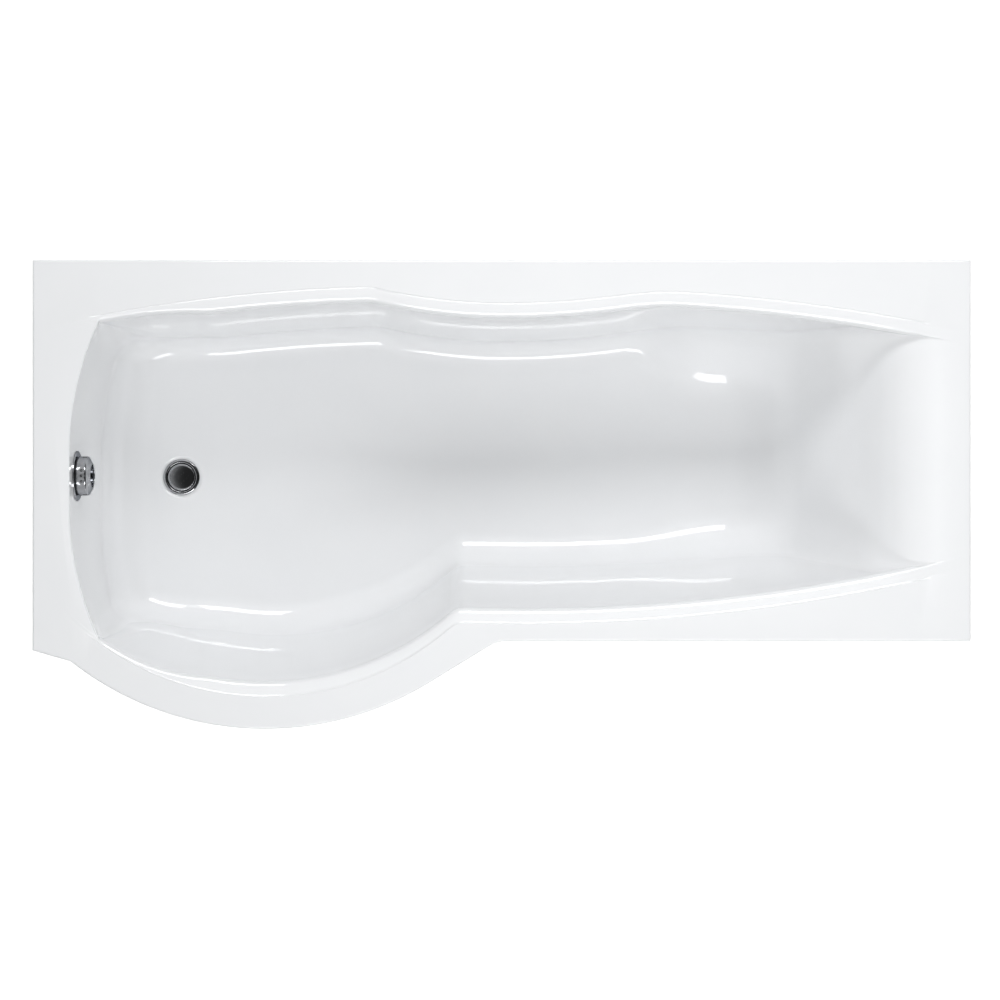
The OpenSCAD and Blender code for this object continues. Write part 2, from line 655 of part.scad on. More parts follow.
// The control cable's sheath, beside the hose, ends in bosses on the two plastic bodies
ferrule_l = 16;
ferrule_r = cable_d / 2 + 2;
boss_r = ferrule_r + 1.5;
boss_l = 12;
cable_off = 24;
cable_drop = 30;
cable_end = -chamber_out - 1;
module waste_body() {
    color("white") at_waste() difference() {
        union() {
            rotate_extrude($fn = 96) polygon([[neck_r + seat, body_top], [body_r, body_top],
                [body_r, body_top - body_lip], [chamber_out, body_top - body_lip],
                [chamber_out, chamber_low],
                [shoulder_r, shoulder_z + 3], [shoulder_r, shoulder_z], [outlet_d / 2, shoulder_z],
                [outlet_d / 2, outlet_z], [outlet_bore / 2, outlet_z], [outlet_bore / 2, shoulder_z + 1],
                [chamber_r, chamber_low + 1], [chamber_r, neck_end - 4], [neck_r + seat, neck_end - 1]]);
            translate([inlet_end, 0, inlet_z]) rotate([0, 90, 0])
                cylinder(r = inlet_r, h = -inlet_end - chamber_r - 1);
            translate([cable_end + seat, -cable_off, -cable_drop]) rotate([0, 90, 0])
                cylinder(r = boss_r, h = boss_l);
            for (s = [-1, 1])
                translate([lever_arm - lug_r, s * lug_off - lug_w / 2, lever_z - lug_r])
                    cube([chamber_r + 1 - lever_arm + lug_r, lug_w, 2 * lug_r]);
        }
        translate([inlet_end - eps, 0, inlet_z]) rotate([0, 90, 0])
            cylinder(r = hose_bore / 2, h = -inlet_end - chamber_r / 2);
        translate([lever_arm, -lever_w, lever_z]) rotate([-90, 0, 0])
            cylinder(r = pin_r + running, h = 2 * lever_w);
    }
}
cap_r = plug_d / 2;
cap_t = 3;
cap_crown = 0.8;
seal_t = 3;
seal_r = 24;
collar_r = stem_r + 3;
collar_low = -seal_t - 2;
// The plug's cap rests with its underside level with the floor
module plug_cap() {
    color("silver") at_waste() rotate_extrude($fn = 96) polygon([[0, 0], [cap_r - 1, 0], [cap_r, 1],
        [cap_r - 0.5, 2], [cap_r - 3, cap_t], [0, cap_t + cap_crown]]);
}
module plug_seal() {
    color("black") at_waste() rotate_extrude()
        polygon([[collar_r, -seal_t], [seal_r - 1.5, -seal_t], [seal_r, -seal_t / 2], [seal_r, 0],
                 [collar_r, 0]]);
}
stem_low = lever_z + lever_rod + seat;
module plug_stem() {
    color("silver") at_waste() rotate_extrude() polygon([[0, stem_low], [stem_r - 0.5, stem_low],
        [stem_r, stem_low + 0.5], [stem_r, collar_low], [collar_r - running, collar_low],
        [collar_r - running, 0], [0, 0]]);
}
lever_web = 4;
module lift_lever() {
    color("dimgray") at_waste() translate([0, -lever_w / 2, lever_z]) difference() {
        union() {
            rotate([-90, 0, 0]) cylinder(r = lever_rod, h = lever_w);
            translate([0, 0, -lever_web / 2]) cube([lever_arm, lever_w, lever_web]);
            translate([lever_arm, 0, 0]) rotate([-90, 0, 0]) cylinder(r = lug_r, h = lever_w);
        }
        translate([lever_arm, -eps, 0]) rotate([-90, 0, 0])
            cylinder(r = pin_r + running, h = lever_w + 2 * eps);
    }
}
module lever_pin() {
    color("silver") at_waste() translate([lever_arm, -lever_w, lever_z]) rotate([-90, 0, 0])
        cylinder(r = pin_r, h = 2 * lever_w);
}

// ---- Overflow ------------------------------------------------------------
// Heights here are from the wall's face, along its normal
rose_r = rose_d / 2;
rose_t = 3;
rose_edge = 1.2;
strainer_t = 0.8;
rose_gap = 0.5;
knob_r = knob_d / 2;
knob_z = rose_t + strainer_t + rose_gap + seat;
spindle_r = 4;
rose_windows = 6;
window_r = 6;
window_at = 15;
rose_low = -shell_t - 14;
module windows(r, z, h) {
    for (i = [0:rose_windows - 1]) rotate(i * 360 / rose_windows)
        translate([window_at, 0, z]) cylinder(r = r, h = h, $fn = 24);
}
// A flat disc against the wall, on a neck through it
module overflow_rose() {
    color("silver") at_overflow() difference() {
        rotate_extrude($fn = 96) polygon([[spindle_r + running, rose_low], [neck_r, rose_low],
            [neck_r, seat], [rose_r, seat], [rose_r, rose_t - rose_edge],
            [rose_r - rose_edge, rose_t], [spindle_r + running, rose_t]]);
        windows(window_r, rose_low - eps, rose_t - rose_low + 2 * eps);
    }
}
module overflow_strainer() {
    color("black") at_overflow() translate([0, 0, rose_t + running]) difference() {
        cylinder(r = knob_r - 1, h = strainer_t);
        translate([0, 0, -eps]) cylinder(r = spindle_r + 2, h = strainer_t + 2 * eps);
        windows(window_r - 2, -eps, strainer_t + 2 * eps);
    }
}
slot_w = 5;
slot_pitch = 10;
slot_l = 12;
slot_deep = 14;
slot_z = 17;
slot_groups = 4;
// The control's rim is straight up to here, then slopes in to the edge round its dished front
rim_top = 21;
front_r = 23.5;
front_w = 3;
front_deep = 7;
face_t = 2;
face_z = knob_h - front_deep;
module control_knob() {
    color("silver") at_overflow() difference() {
        rotate_extrude($fn = 96) polygon([[spindle_r, knob_z + 4], [knob_r - 3, knob_z + 4],
            [knob_r - 3, knob_z], [knob_r - 0.6, knob_z], [knob_r, knob_z + 0.8],
            [knob_r, rim_top], [knob_r - 1.5, rim_top + 2], [front_r + 1.5, knob_h - 1],
            [front_r, knob_h], [front_r - front_w + 0.5, knob_h], [front_r - front_w, knob_h - 0.6],
            [front_r - front_w, face_z], [spindle_r, face_z]]);
        for (g = [0:slot_groups - 1]) for (i = [0:slot_count - 1]) rotate(g * 360 / slot_groups)
            translate([knob_r, (i - (slot_count - 1) / 2) * slot_pitch, slot_z])
                cube([slot_deep, slot_w, slot_l], center = true);
    }
}
module knob_face() {
    color("silver") at_overflow() rotate_extrude($fn = 96) polygon([[0, face_z + running],
        [front_r - front_w - seat, face_z + running], [front_r - front_w - seat, face_z + face_t - 0.5],
        [front_r - front_w - seat - 0.5, face_z + face_t], [0, face_z + face_t + 0.3]]);
}
spindle_end = -shell_t - 24;
disc_r = 9;
disc_t = 3;
module knob_spindle() {
    color("silver") at_overflow() translate([0, 0, spindle_end]) {
        cylinder(r = spindle_r - running, h = face_z - spindle_end);
        cylinder(r = disc_r, h = disc_t);
    }
}
nut_ring_r = neck_r + 7;
module overflow_washer() {
    color("dimgray") at_overflow() rotate_extrude() polygon([[waste_hole_r, -shell_t - seat],
        [nut_ring_r + 2, -shell_t - seat], [nut_ring_r + 2, -shell_t - seat - washer_t],
        [waste_hole_r, -shell_t - seat - washer_t]]);
}
nut_ring_h = 6;
nut_ring_z = -shell_t - washer_t - 2 * seat - nut_ring_h;
module overflow_nut() {
    color("white") at_overflow() rotate_extrude() polygon([[neck_r + running, nut_ring_z],
        [nut_ring_r, nut_ring_z], [nut_ring_r, nut_ring_z + nut_ring_h],
        [neck_r + running, nut_ring_z + nut_ring_h]]);
}
box_r = 31;
box_z0 = -shell_t - 36;
box_z1 = nut_ring_z - seat;
// The hose's spigot hangs straight down, just behind the ring nut
hose_x = overflow_x + nut_ring_z * cos(tap_draft) + neck_r * sin(tap_draft) - inlet_r - seat;
hose_top = overflow_z - box_r - 15;
spigot_l = 17.5;
cable_x = hose_x - 2;
cable_y = drain_y - cable_off;
cable_top = overflow_z - box_r + 1;
module overflow_body() {
    color("white") difference() {
        union() {
            at_overflow() rotate_extrude() polygon([[0, box_z0], [box_r - 2, box_z0],
                [box_r, box_z0 + 2], [box_r, box_z1], [neck_r + running, box_z1],
                [neck_r + running, rose_low - 2], [box_r - wall_t, rose_low - 4],
                [box_r - wall_t, box_z0 + wall_t], [0, box_z0 + wall_t]]);
            translate([hose_x, drain_y, hose_top]) cylinder(r = inlet_r, h = spigot_l);
            translate([cable_x, cable_y, cable_top + seat]) cylinder(r = boss_r, h = boss_l + 4);
        }
        translate([hose_x, drain_y, hose_top - eps]) cylinder(r = hose_bore / 2, h = spigot_l + 5);
    }
}

// ---- Hose and cable ------------------------------------------------------
// A pipe run down, round a quarter bend and along +X; distance along it gives
// [x, z, angle from straight down]
hose_bend = 95;
inlet_height = drain_z + inlet_z;
inlet_x = waste_x + inlet_end;
function run_at(s, x, z0, bend, z1) =
    let (down = z0 - z1 - bend, arc = bend * PI / 2)
    s < down ? [x, z0 - s, 0]
        : s < down + arc
            ? let (a = (s - down) / bend * 180 / PI) [x + bend * (1 - cos(a)), z1 + bend - bend * sin(a), a]
            : [x + bend + s - down - arc, z1, 90];
function run_len(x, z0, bend, z1, x1) = z0 - z1 - bend + bend * PI / 2 + x1 - x - bend;
function hoop(q, y, r, sides) = [for (i = [0:sides - 1])
    let (t = 360 * i / sides, u = r * cos(t), a = q[2])
    [q[0] - u * cos(a), y + r * sin(t), q[1] - u * sin(a)]];
function tube_faces(n, sides, base, flip) = [for (k = [0:n - 2]) for (i = [0:sides - 1]) for (half = [0, 1])
    let (j = (i + 1) % sides, a = base + k * sides + i, b = base + (k + 1) * sides + i,
         c = base + (k + 1) * sides + j, d = base + k * sides + j,
         f = half == 0 ? [a, b, c] : [a, c, d]) flip ? [f[2], f[1], f[0]] : f];

hose_sides = 8;
rib_pitch = 7;
rib_h = 2;
cuff = hose_d;
hose_z0 = hose_top - seat;
hose_x1 = inlet_x - seat;
hose_l = run_len(hose_x, hose_z0, hose_bend, inlet_height, hose_x1);
hose_ribs = floor((hose_l - 2 * cuff) / rib_pitch);
hose_s = concat([[0, inlet_r]],
    [for (i = [0:hose_ribs - 1]) for (h = [0, 1])
        [cuff + (hose_l - 2 * cuff) * (i + 0.25 + h / 2) / hose_ribs, inlet_r - h * rib_h]],
    [[hose_l, inlet_r]]);
bore_steps = 24;
function hose_at(s) = run_at(s, hose_x, hose_z0, hose_bend, inlet_height);
module overflow_hose() {
    outer = [for (s = hose_s) hoop(hose_at(s[0]), drain_y, s[1], hose_sides)];
    inner = [for (i = [0:bore_steps])
        hoop(hose_at(hose_l * i / bore_steps), drain_y, hose_bore / 2, hose_sides)];
    no = len(outer);
    ni = len(inner);
    base = no * hose_sides;
    function cap_faces(a, b, flip) = [for (i = [0:hose_sides - 1]) for (half = [0, 1])
        let (j = (i + 1) % hose_sides, f = half == 0 ? [a + i, b + i, b + j] : [a + i, b + j, a + j])
        flip ? [f[2], f[1], f[0]] : f];
    color("white") polyhedron(
        points = concat([for (h = outer) each h], [for (h = inner) each h]),
        faces = concat(tube_faces(no, hose_sides, 0, false), tube_faces(ni, hose_sides, base, true),
                       cap_faces(0, base, true),
                       cap_faces(base - hose_sides, base + (ni - 1) * hose_sides, false)),
        convexity = 8);
}
hose_nut_r = inlet_r + 5;
hose_nut_l = 16;
// Ring nut that clamps the hose's cuff to its spigot
module hose_nut() {
    color("gray") difference() {
        cylinder(r = hose_nut_r, h = hose_nut_l, $fn = 12);
        translate([0, 0, -eps]) cylinder(r = inlet_r + seat, h = hose_nut_l + 2 * eps, $fn = 64);
    }
}
module hose_nut_top() { translate([hose_x, drain_y, hose_z0 - hose_nut_l / 2]) hose_nut(); }
module hose_nut_low() {
    translate([hose_x1 - hose_nut_l / 2, drain_y, inlet_height]) rotate([0, 90, 0]) hose_nut();
}

cable_bend = 100;
cable_low = drain_z - cable_drop;
cable_z0 = cable_top - ferrule_l;
cable_x1 = waste_x + cable_end - ferrule_l;
cable_steps = 36;
cable_l = run_len(cable_x, cable_z0, cable_bend, cable_low, cable_x1);
function cable_at(s) = run_at(s, cable_x, cable_z0, cable_bend, cable_low);
module cable_sheath() {
    rings = [for (i = [0:cable_steps])
        hoop(cable_at(cable_l * i / cable_steps), cable_y, cable_d / 2, hose_sides)];
    n = len(rings);
    color("black") polyhedron(points = [for (h = rings) each h],
        faces = concat([[for (i = [0:hose_sides - 1]) i]], tube_faces(n, hose_sides, 0, false),
                       [[for (i = [hose_sides - 1:-1:0]) (n - 1) * hose_sides + i]]), convexity = 6);
}
module cable_ferrules() {
    color("dimgray") {
        translate([cable_x, cable_y, cable_z0]) cylinder(r = ferrule_r, h = ferrule_l);
        translate([cable_x1, cable_y, cable_low]) rotate([0, 90, 0]) cylinder(r = ferrule_r, h = ferrule_l);
    }
}

// ---- Parts ---------------------------------------------------------------
bath_shell();
base_board();
back_batten();
tap_batten();
head_batten();
front_batten();
cradle_tap();
cradle_head();
centre_plate();
cradle_screws();
stud(0);  // stud_1
stud(1);  // stud_2
stud(2);  // stud_3
stud(3);  // stud_4
stud(4);  // stud_5
pad(0);  // pad_1
pad(1);  // pad_2
pad(2);  // pad_3
pad(3);  // pad_4
pad(4);  // pad_5
leg_nuts();
wall_bracket_left();
wall_bracket_right();
bracket_screws();
waste_flange();
flange_gasket();
body_washer();
waste_body();
plug_cap();
plug_seal();
plug_stem();
lift_lever();
lever_pin();
overflow_rose();
overflow_strainer();
control_knob();
knob_face();
knob_spindle();
overflow_washer();
overflow_body();
overflow_nut();
overflow_hose();
hose_nut_top();
hose_nut_low();
cable_sheath();
cable_ferrules();
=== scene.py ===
# %% [markdown]
# A p shaped shower bath, dressed for a studio picture taken from straight above.
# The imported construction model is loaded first. It fixes every size and place, so each
# new piece below is measured from it and only adds surface quality.
# All lengths are metres, +X runs from the tap end to the head end, +Y is the wall side.

# %% Load the frame
import json
import math

import bmesh
import bpy
import numpy as np
from mathutils import Matrix, Vector


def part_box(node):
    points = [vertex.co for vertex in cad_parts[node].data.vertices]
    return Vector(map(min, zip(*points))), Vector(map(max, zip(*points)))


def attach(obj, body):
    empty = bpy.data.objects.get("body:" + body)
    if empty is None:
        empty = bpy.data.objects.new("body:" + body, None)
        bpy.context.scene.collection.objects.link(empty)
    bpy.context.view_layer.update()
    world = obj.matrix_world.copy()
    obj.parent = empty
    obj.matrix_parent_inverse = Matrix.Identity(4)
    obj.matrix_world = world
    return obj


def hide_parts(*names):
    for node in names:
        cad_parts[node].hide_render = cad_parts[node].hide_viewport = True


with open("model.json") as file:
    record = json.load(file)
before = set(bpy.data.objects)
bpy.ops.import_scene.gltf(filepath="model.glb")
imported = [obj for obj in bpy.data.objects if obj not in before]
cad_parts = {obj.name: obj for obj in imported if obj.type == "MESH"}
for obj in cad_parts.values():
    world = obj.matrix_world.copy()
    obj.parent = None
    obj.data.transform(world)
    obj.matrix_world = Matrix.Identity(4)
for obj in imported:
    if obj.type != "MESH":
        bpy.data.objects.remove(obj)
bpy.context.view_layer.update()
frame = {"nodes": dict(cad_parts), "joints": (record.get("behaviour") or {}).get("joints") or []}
nodes = frame["nodes"]

# %% [markdown]
# Shader maths reads best as plain expressions. One small class wraps a socket, so that
# mask * 0.5 + 0.1 adds the Math nodes by itself. Colours go through Mix nodes instead,
# since a Math node would turn them grey.

# %% Shader values
class Value:
    """A socket that can be used in sums, with numbers or other values."""

    def __init__(self, tree, socket):
        self.tree = tree
        self.socket = socket

    def math(self, operation, *others):
        sockets = dict(enumerate((self, *others)))
        return add_node(self.tree, "ShaderNodeMath", 0, {"operation": operation}, sockets)

    def __add__(self, other):
        return self.math("ADD", other)

    def __mul__(self, other):
        return self.math("MULTIPLY", other)

    def __sub__(self, other):
        return self.math("SUBTRACT", other)

    def __rsub__(self, other):
        return (self * -1.0) + other

    __radd__ = __add__
    __rmul__ = __mul__

    def between(self, low, high):
        """0 below low, 1 above high, smooth in between."""
        return add_node(self.tree, "ShaderNodeMapRange", "Result", {"interpolation_type": "SMOOTHSTEP"},
                        {"Value": self, "From Min": low, "From Max": high})


def join(tree, slot, item):
    """Gives a socket its link, or its plain value."""
    if isinstance(item, Value):
        tree.links.new(item.socket, slot)
    else:
        slot.default_value = item


def add_node(tree, kind, output, settings=None, sockets=None):
    """A node with its settings first and then its sockets, given as one of its outputs."""
    made = tree.nodes.new(kind)
    for name, setting in (settings or {}).items():
        setattr(made, name, setting)
    for key, item in (sockets or {}).items():
        join(tree, made.inputs[key], item)
    return Value(tree, made.outputs[output])


# %% [markdown]
# A finish is one material and its shader. It starts from plain values. Noises and cells
# in the object's own space then vary its colour, its roughness and its bumps, so that no
# picture is needed and nothing has to be unwrapped.

# %% Finishes
class Finish:
    """One material: its shader, and the textures that vary it."""

    def __init__(self, name, colour, rough, metal=0.0, coat=0.0):
        self.material = bpy.data.materials.new(name)
        self.material.use_nodes = True
        self.tree = self.material.node_tree
        self.shader = self.tree.nodes["Principled BSDF"]
        self.set("Base Color", (*colour, 1))
        self.set("Roughness", rough)
        self.set("Metallic", metal)
        self.set("Coat Weight", coat)

    def set(self, name, item):
        join(self.tree, self.shader.inputs[name], item)

    def place(self, stretch):
        """A point's place on the object, stretched along its axes."""
        coords = add_node(self.tree, "ShaderNodeTexCoord", "Object")
        return add_node(self.tree, "ShaderNodeMapping", "Vector",
                        sockets={"Vector": coords, "Scale": stretch})

    def noise(self, scale, detail=3.0, stretch=(1, 1, 1)):
        return add_node(self.tree, "ShaderNodeTexNoise", "Fac",
                        sockets={"Vector": self.place(stretch), "Scale": scale, "Detail": detail})

    def cells(self, scale, output="Distance", stretch=(1, 1, 1)):
        return add_node(self.tree, "ShaderNodeTexVoronoi", output,
                        sockets={"Vector": self.place(stretch), "Scale": scale})

    def mix(self, mask, low, high):
        """A colour that goes from low to high with mask."""
        return add_node(self.tree, "ShaderNodeMix", 2, {"data_type": "RGBA"},
                        {0: mask, 6: (*low, 1), 7: (*high, 1)})

    def bump(self, height, distance, strength):
        self.set("Normal", add_node(self.tree, "ShaderNodeBump", "Normal",
                                    sockets={"Height": height, "Distance": distance, "Strength": strength}))


# %% [markdown]
# The camera looks straight down from about six metres above the rim, as the picture
# does: the inner walls at both ends and both sides lean evenly into view.

# %% Camera
FRAME_PX = 1000
METRES_PER_PX = 0.00181
CAMERA_ABOVE_RIM = 6.0
SENSOR = 36.0
rim_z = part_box("bath_shell")[1].z


def in_scene(name, data):
    """A new object of this name and data, linked into the scene."""
    made = bpy.data.objects.new(name, data)
    bpy.context.scene.collection.objects.link(made)
    return made


camera_data = bpy.data.cameras.new("camera")
camera_data.sensor_width = SENSOR
camera_data.lens = SENSOR * CAMERA_ABOVE_RIM / (FRAME_PX * METRES_PER_PX)
camera = in_scene("camera", camera_data)
camera.location = (-0.003, -0.010, rim_z + CAMERA_ABOVE_RIM)
bpy.context.scene.camera = camera
print("lens:", round(camera_data.lens, 1), "mm")

# %% [markdown]
# The room is a pale floor and three soft boxes. The long ones beside the bath draw the
# thin highlights along the floor's rounded edges, and the one overhead lights the basin
# but isn't mirrored in it. The sky straight above stays dark, so that polished metal
# seen from above reads dark as it does in the picture.

# %% Studio
FLOOR_SIZE, FLOOR_GLOW, SKY_STRENGTH = 60.0, 0.6, 0.66
BATH_CENTRE = (0, 0, 0.35)
BOX_Y, BOX_Z = 3.6, 4.3
FRONT_WATTS, BACK_WATTS, OVERHEAD_WATTS = 77, 109, 27
OVERHEAD_X, OVERHEAD_Y, OVERHEAD_Z = 0.35, 0.05, 3.1


def area_light(name, place, target, size, watts):
    data = bpy.data.lights.new(name, "AREA")
    data.shape = "RECTANGLE"
    data.size, data.size_y = size
    data.energy = watts
    light = in_scene(name, data)
    light.location = place
    light.rotation_euler = (Vector(target) - Vector(place)).to_track_quat("-Z", "Y").to_euler()
    return light


area_light("box_front", (0.52, -BOX_Y, BOX_Z), BATH_CENTRE, (3.4, 1.2), FRONT_WATTS)
area_light("box_back", (0.57, BOX_Y, BOX_Z), BATH_CENTRE, (3.2, 1.1), BACK_WATTS)
overhead = area_light("overhead", (OVERHEAD_X, OVERHEAD_Y, OVERHEAD_Z),
                      (OVERHEAD_X, OVERHEAD_Y, 0), (1.0, 1.0), OVERHEAD_WATTS)
overhead.visible_glossy = False
overhead.visible_camera = False

floor_mesh = bpy.data.meshes.new("studio_floor")
half = FLOOR_SIZE / 2
floor_corners = [(-half, -half, 0), (half, -half, 0), (half, half, 0), (-half, half, 0)]
floor_mesh.from_pydata(floor_corners, [], [(0, 1, 2, 3)])
floor = in_scene("studio_floor", floor_mesh)
floor_finish = Finish("studio_floor", (0.93, 0.93, 0.93), 0.9)
floor_finish.set("Emission Color", (1, 1, 1, 1))
floor_finish.set("Emission Strength", FLOOR_GLOW)
floor_mesh.materials.append(floor_finish.material)

world = bpy.data.worlds.new("studio")
bpy.context.scene.world = world
world.use_nodes = True
sky_tree = world.node_tree
sky = sky_tree.nodes["Background"]
direction = add_node(sky_tree, "ShaderNodeTexCoord", "Generated")
height = add_node(sky_tree, "ShaderNodeSeparateXYZ", "Z", sockets={0: direction})
towards_head = add_node(sky_tree, "ShaderNodeSeparateXYZ", "X", sockets={0: direction})
leaning_height = height * 0.985 + towards_head * 0.17
zenith = 1.0 - leaning_height.between(0.86, 0.975) * 0.95
head_dark = towards_head.between(0.05, 0.65) * 0.95
tap_dark = (towards_head * -1.0).between(0.1, 0.7) * 0.85
level = zenith * (1.0 - head_dark - tap_dark)
tint = add_node(sky_tree, "ShaderNodeCombineColor", "Color",
                sockets={"Red": level * 0.99, "Green": level, "Blue": level * 1.01})
join(sky_tree, sky.inputs["Color"], tint)
join(sky_tree, sky.inputs["Strength"], SKY_STRENGTH)
bpy.context.scene.view_settings.view_transform = "Standard"
print("lights:", len(bpy.data.lights), "nodes of the sky:", len(sky_tree.nodes))

# %% [markdown]
# The bath itself is one sheet of acrylic, drawn hot over a mould. Its form is a family
# of cross-sections along the bath: a flat rim, a crisp crease, a soft band, a roll into
# the wall, the wall with its draft, a wide cove and the floor. The sections of the
# construction model are worked out here far more finely, so reflections run clean, and
# the corners beside the tap wall are rounder here.

# %% Outline of the bath
WIDTH = 0.850
HEAD_WIDTH = 0.691
TAP_WIDTH = 0.708
shell_low, shell_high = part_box("bath_shell")
X_TAP, X_HEAD = shell_low.x, shell_high.x
Y_BACK = WIDTH / 2
BULGE_R, BULGE_RIM, BULGE_EXIT = 0.570, 0.058, math.radians(31.5)
BULGE = (-0.428, BULGE_R - WIDTH / 2)
TAP_BLEND, HEAD_BLEND = 0.016, 0.010
exit_x = BULGE[0] + BULGE_R * math.sin(BULGE_EXIT)
exit_y = BULGE[1] - BULGE_R * math.cos(BULGE_EXIT)


def lower(a, b, blend):
    """The lower of two lines, with the corner where they cross rounded off."""
    return np.minimum(a, b) - np.maximum(blend - np.abs(a - b), 0) ** 2 / (4 * blend)


def circle_front(x, centre, radius):
    """The front half of a circle, as y over x."""
    return centre[1] - np.sqrt(np.maximum(radius ** 2 - (x - centre[0]) ** 2, 0))


def crown(x, top, radius):
    """The back half of a circle, given by its furthest point."""
    return top[1] - radius + np.sqrt(np.maximum(radius ** 2 - (x - top[0]) ** 2, 0))


def front_edge(x):
    """The rim's outer edge: the bulge, its straight way out and the two ends beside them."""
    way_out = exit_y + (x - exit_x) * math.tan(BULGE_EXIT)
    bulge = np.where(x < exit_x, circle_front(x, BULGE, BULGE_R), way_out)
    beside = np.where(x < BULGE[0], Y_BACK - TAP_WIDTH, Y_BACK - HEAD_WIDTH)
    return lower(bulge, beside, np.where(x < BULGE[0], TAP_BLEND, HEAD_BLEND))


print("the bulge's circle ends at:", round(exit_x, 4), round(exit_y, 4))

# %% [markdown]
# Inside the rim runs the crease where the basin begins. Along the back it is two long
# shallow arcs that meet in a narrow waist, and along the front the bulge's circle goes
# over into one long arc. Each is a formula of x, so a section can ask for it anywhere.

# %% Creases
BACK_RIM, WAIST_IN, WAIST_X = 0.047, 0.030, 0.005
WAIST_Y = Y_BACK - BACK_RIM - WAIST_IN
TAP_TOP, HEAD_TOP = (-0.170, Y_BACK - BACK_RIM), (0.130, Y_BACK - BACK_RIM - 0.004)
TAP_ARC_R, HEAD_ARC_R = 3.0, 3.3
TAP_WAIST_R, HEAD_WAIST_R = 1.0, 1.6
TAP_WAIST_BLEND, HEAD_WAIST_BLEND = 0.004, 0.012


def back_crease(x):
    """The rim's inner edge at the back: a long arc on each side of a narrow waist."""
    tap_side = x < WAIST_X
    long_arc = np.where(tap_side, crown(x, TAP_TOP, TAP_ARC_R), crown(x, HEAD_TOP, HEAD_ARC_R))
    waist_r = np.where(tap_side, TAP_WAIST_R, HEAD_WAIST_R)
    from_waist = np.minimum(np.abs(x - WAIST_X), 0.6 * waist_r)
    waist = WAIST_Y + waist_r - np.sqrt(waist_r ** 2 - from_waist ** 2)
    return lower(long_arc, waist, np.where(tap_side, TAP_WAIST_BLEND, HEAD_WAIST_BLEND))


FRONT_LOW, FRONT_ARC_R, FRONT_BLEND = (0.040, Y_BACK - HEAD_WIDTH + 0.031), 3.3, 0.012


def front_crease(x):
    """The rim's inner edge at the front: the bulge's circle and one long shallow arc."""
    straight = -crown(x, (FRONT_LOW[0], -FRONT_LOW[1]), FRONT_ARC_R)
    return lower(circle_front(x, BULGE, BULGE_R - BULGE_RIM), straight, FRONT_BLEND)


print("rim width behind the waist:", round(float(Y_BACK - back_crease(np.array(WAIST_X))), 4))

# %% [markdown]
# Every wall is drawn as a chain: a roll, a straight stretch at the wall's slope and a
# cove into the floor. The side walls start with a small pressed step at the crease and a
# sloping shoulder band. Near the two ends, where they are shallow, they shrink their
# radii, and the shallowest are flattened copies, so that no two points ever meet.

# %% Wall profiles
ROLLS, MIDS, COVES = 7, 7, 16
BAND, BAND_FALL, BAND_END, BAND_STEPS = 0.022, 0.008, math.radians(26), 6
STEP, FULL_DEPTH, LEAST_DEPTH = 0.0020, 0.060, 0.012
STEP_RUN, STEP_SHARE, BELOW_STEP = 0.0024, 0.60, 1.15
BAND_EVEN, BAND_BENT = 0.7, 0.3
ROLL_R, ROLL_SHARE, COVE_SHARE = 0.012, 0.45, 0.95


def arc_reach(radius, start, stop):
    """How far (inwards, down) an arc leads while its slope turns from start to stop."""
    return radius * (math.sin(stop) - math.sin(start)), radius * (math.cos(start) - math.cos(stop))


def wall_line(depth, roll, cove, slope, start=0.0, mids=MIDS):
    """Points (inwards, down) of a roll, a straight stretch at a slope and a cove."""
    x1, z1 = arc_reach(roll, start, slope)
    straight = (depth - z1 - cove * (1 - math.cos(slope))) / math.sin(slope)
    x2, z2 = x1 + straight * math.cos(slope), z1 + straight * math.sin(slope)
    points = [(0.0, 0.0)]
    for i in range(1, ROLLS + 1):
        points.append(arc_reach(roll, start, start + (slope - start) * i / ROLLS))
    for i in range(1, mids + 1):
        share = i / mids
        points.append((x1 + (x2 - x1) * share, z1 + (z2 - z1) * share))
    for i in range(1, COVES + 1):
        reach = arc_reach(cove, slope * (1 - i / COVES), slope)
        points.append((x2 + reach[0], z2 + reach[1]))
    return points


def side_profile(depth, cove, draft, step, shoulder):
    """Points (inwards, down) from the crease to the floor; a shoulder is (width, share of fall)."""
    band, dip = shoulder
    drawn = max(depth, LEAST_DEPTH)
    fall = BAND_FALL * dip * min(1.0, drawn / FULL_DEPTH)
    crisp = min(step, STEP_SHARE * depth)
    band_end = max(fall * depth / drawn, BELOW_STEP * crisp)
    slope = math.pi / 2 - draft
    limit = (drawn - fall) / (1 - math.cos(slope))
    roll = min(ROLL_R, ROLL_SHARE * limit)
    wall = wall_line(drawn - fall, roll, min(cove, COVE_SHARE * limit - roll), slope, BAND_END * dip)
    points = [(0.0, 0.0), (STEP_RUN, crisp)]
    for i in range(1, BAND_STEPS):
        t = i / BAND_STEPS
        bent = BAND_EVEN * t + BAND_BENT * t * t
        points.append((STEP_RUN + (band - STEP_RUN) * t, crisp + (band_end - crisp) * bent))
    below = (depth - band_end) / (drawn - fall)
    return points + [(band + p[0], band_end + below * p[1]) for p in wall]


print("steps of a side wall: band", BAND_STEPS, "roll", ROLLS, "straight", MIDS, "cove", COVES)

# %% [markdown]
# Some measures change along the bath. The floor falls to the waste, and the coves widen
# towards the backrest. Towards the tap wall the shoulder narrows into the ledge, and that
# wall curls forward at both sides into round corners.

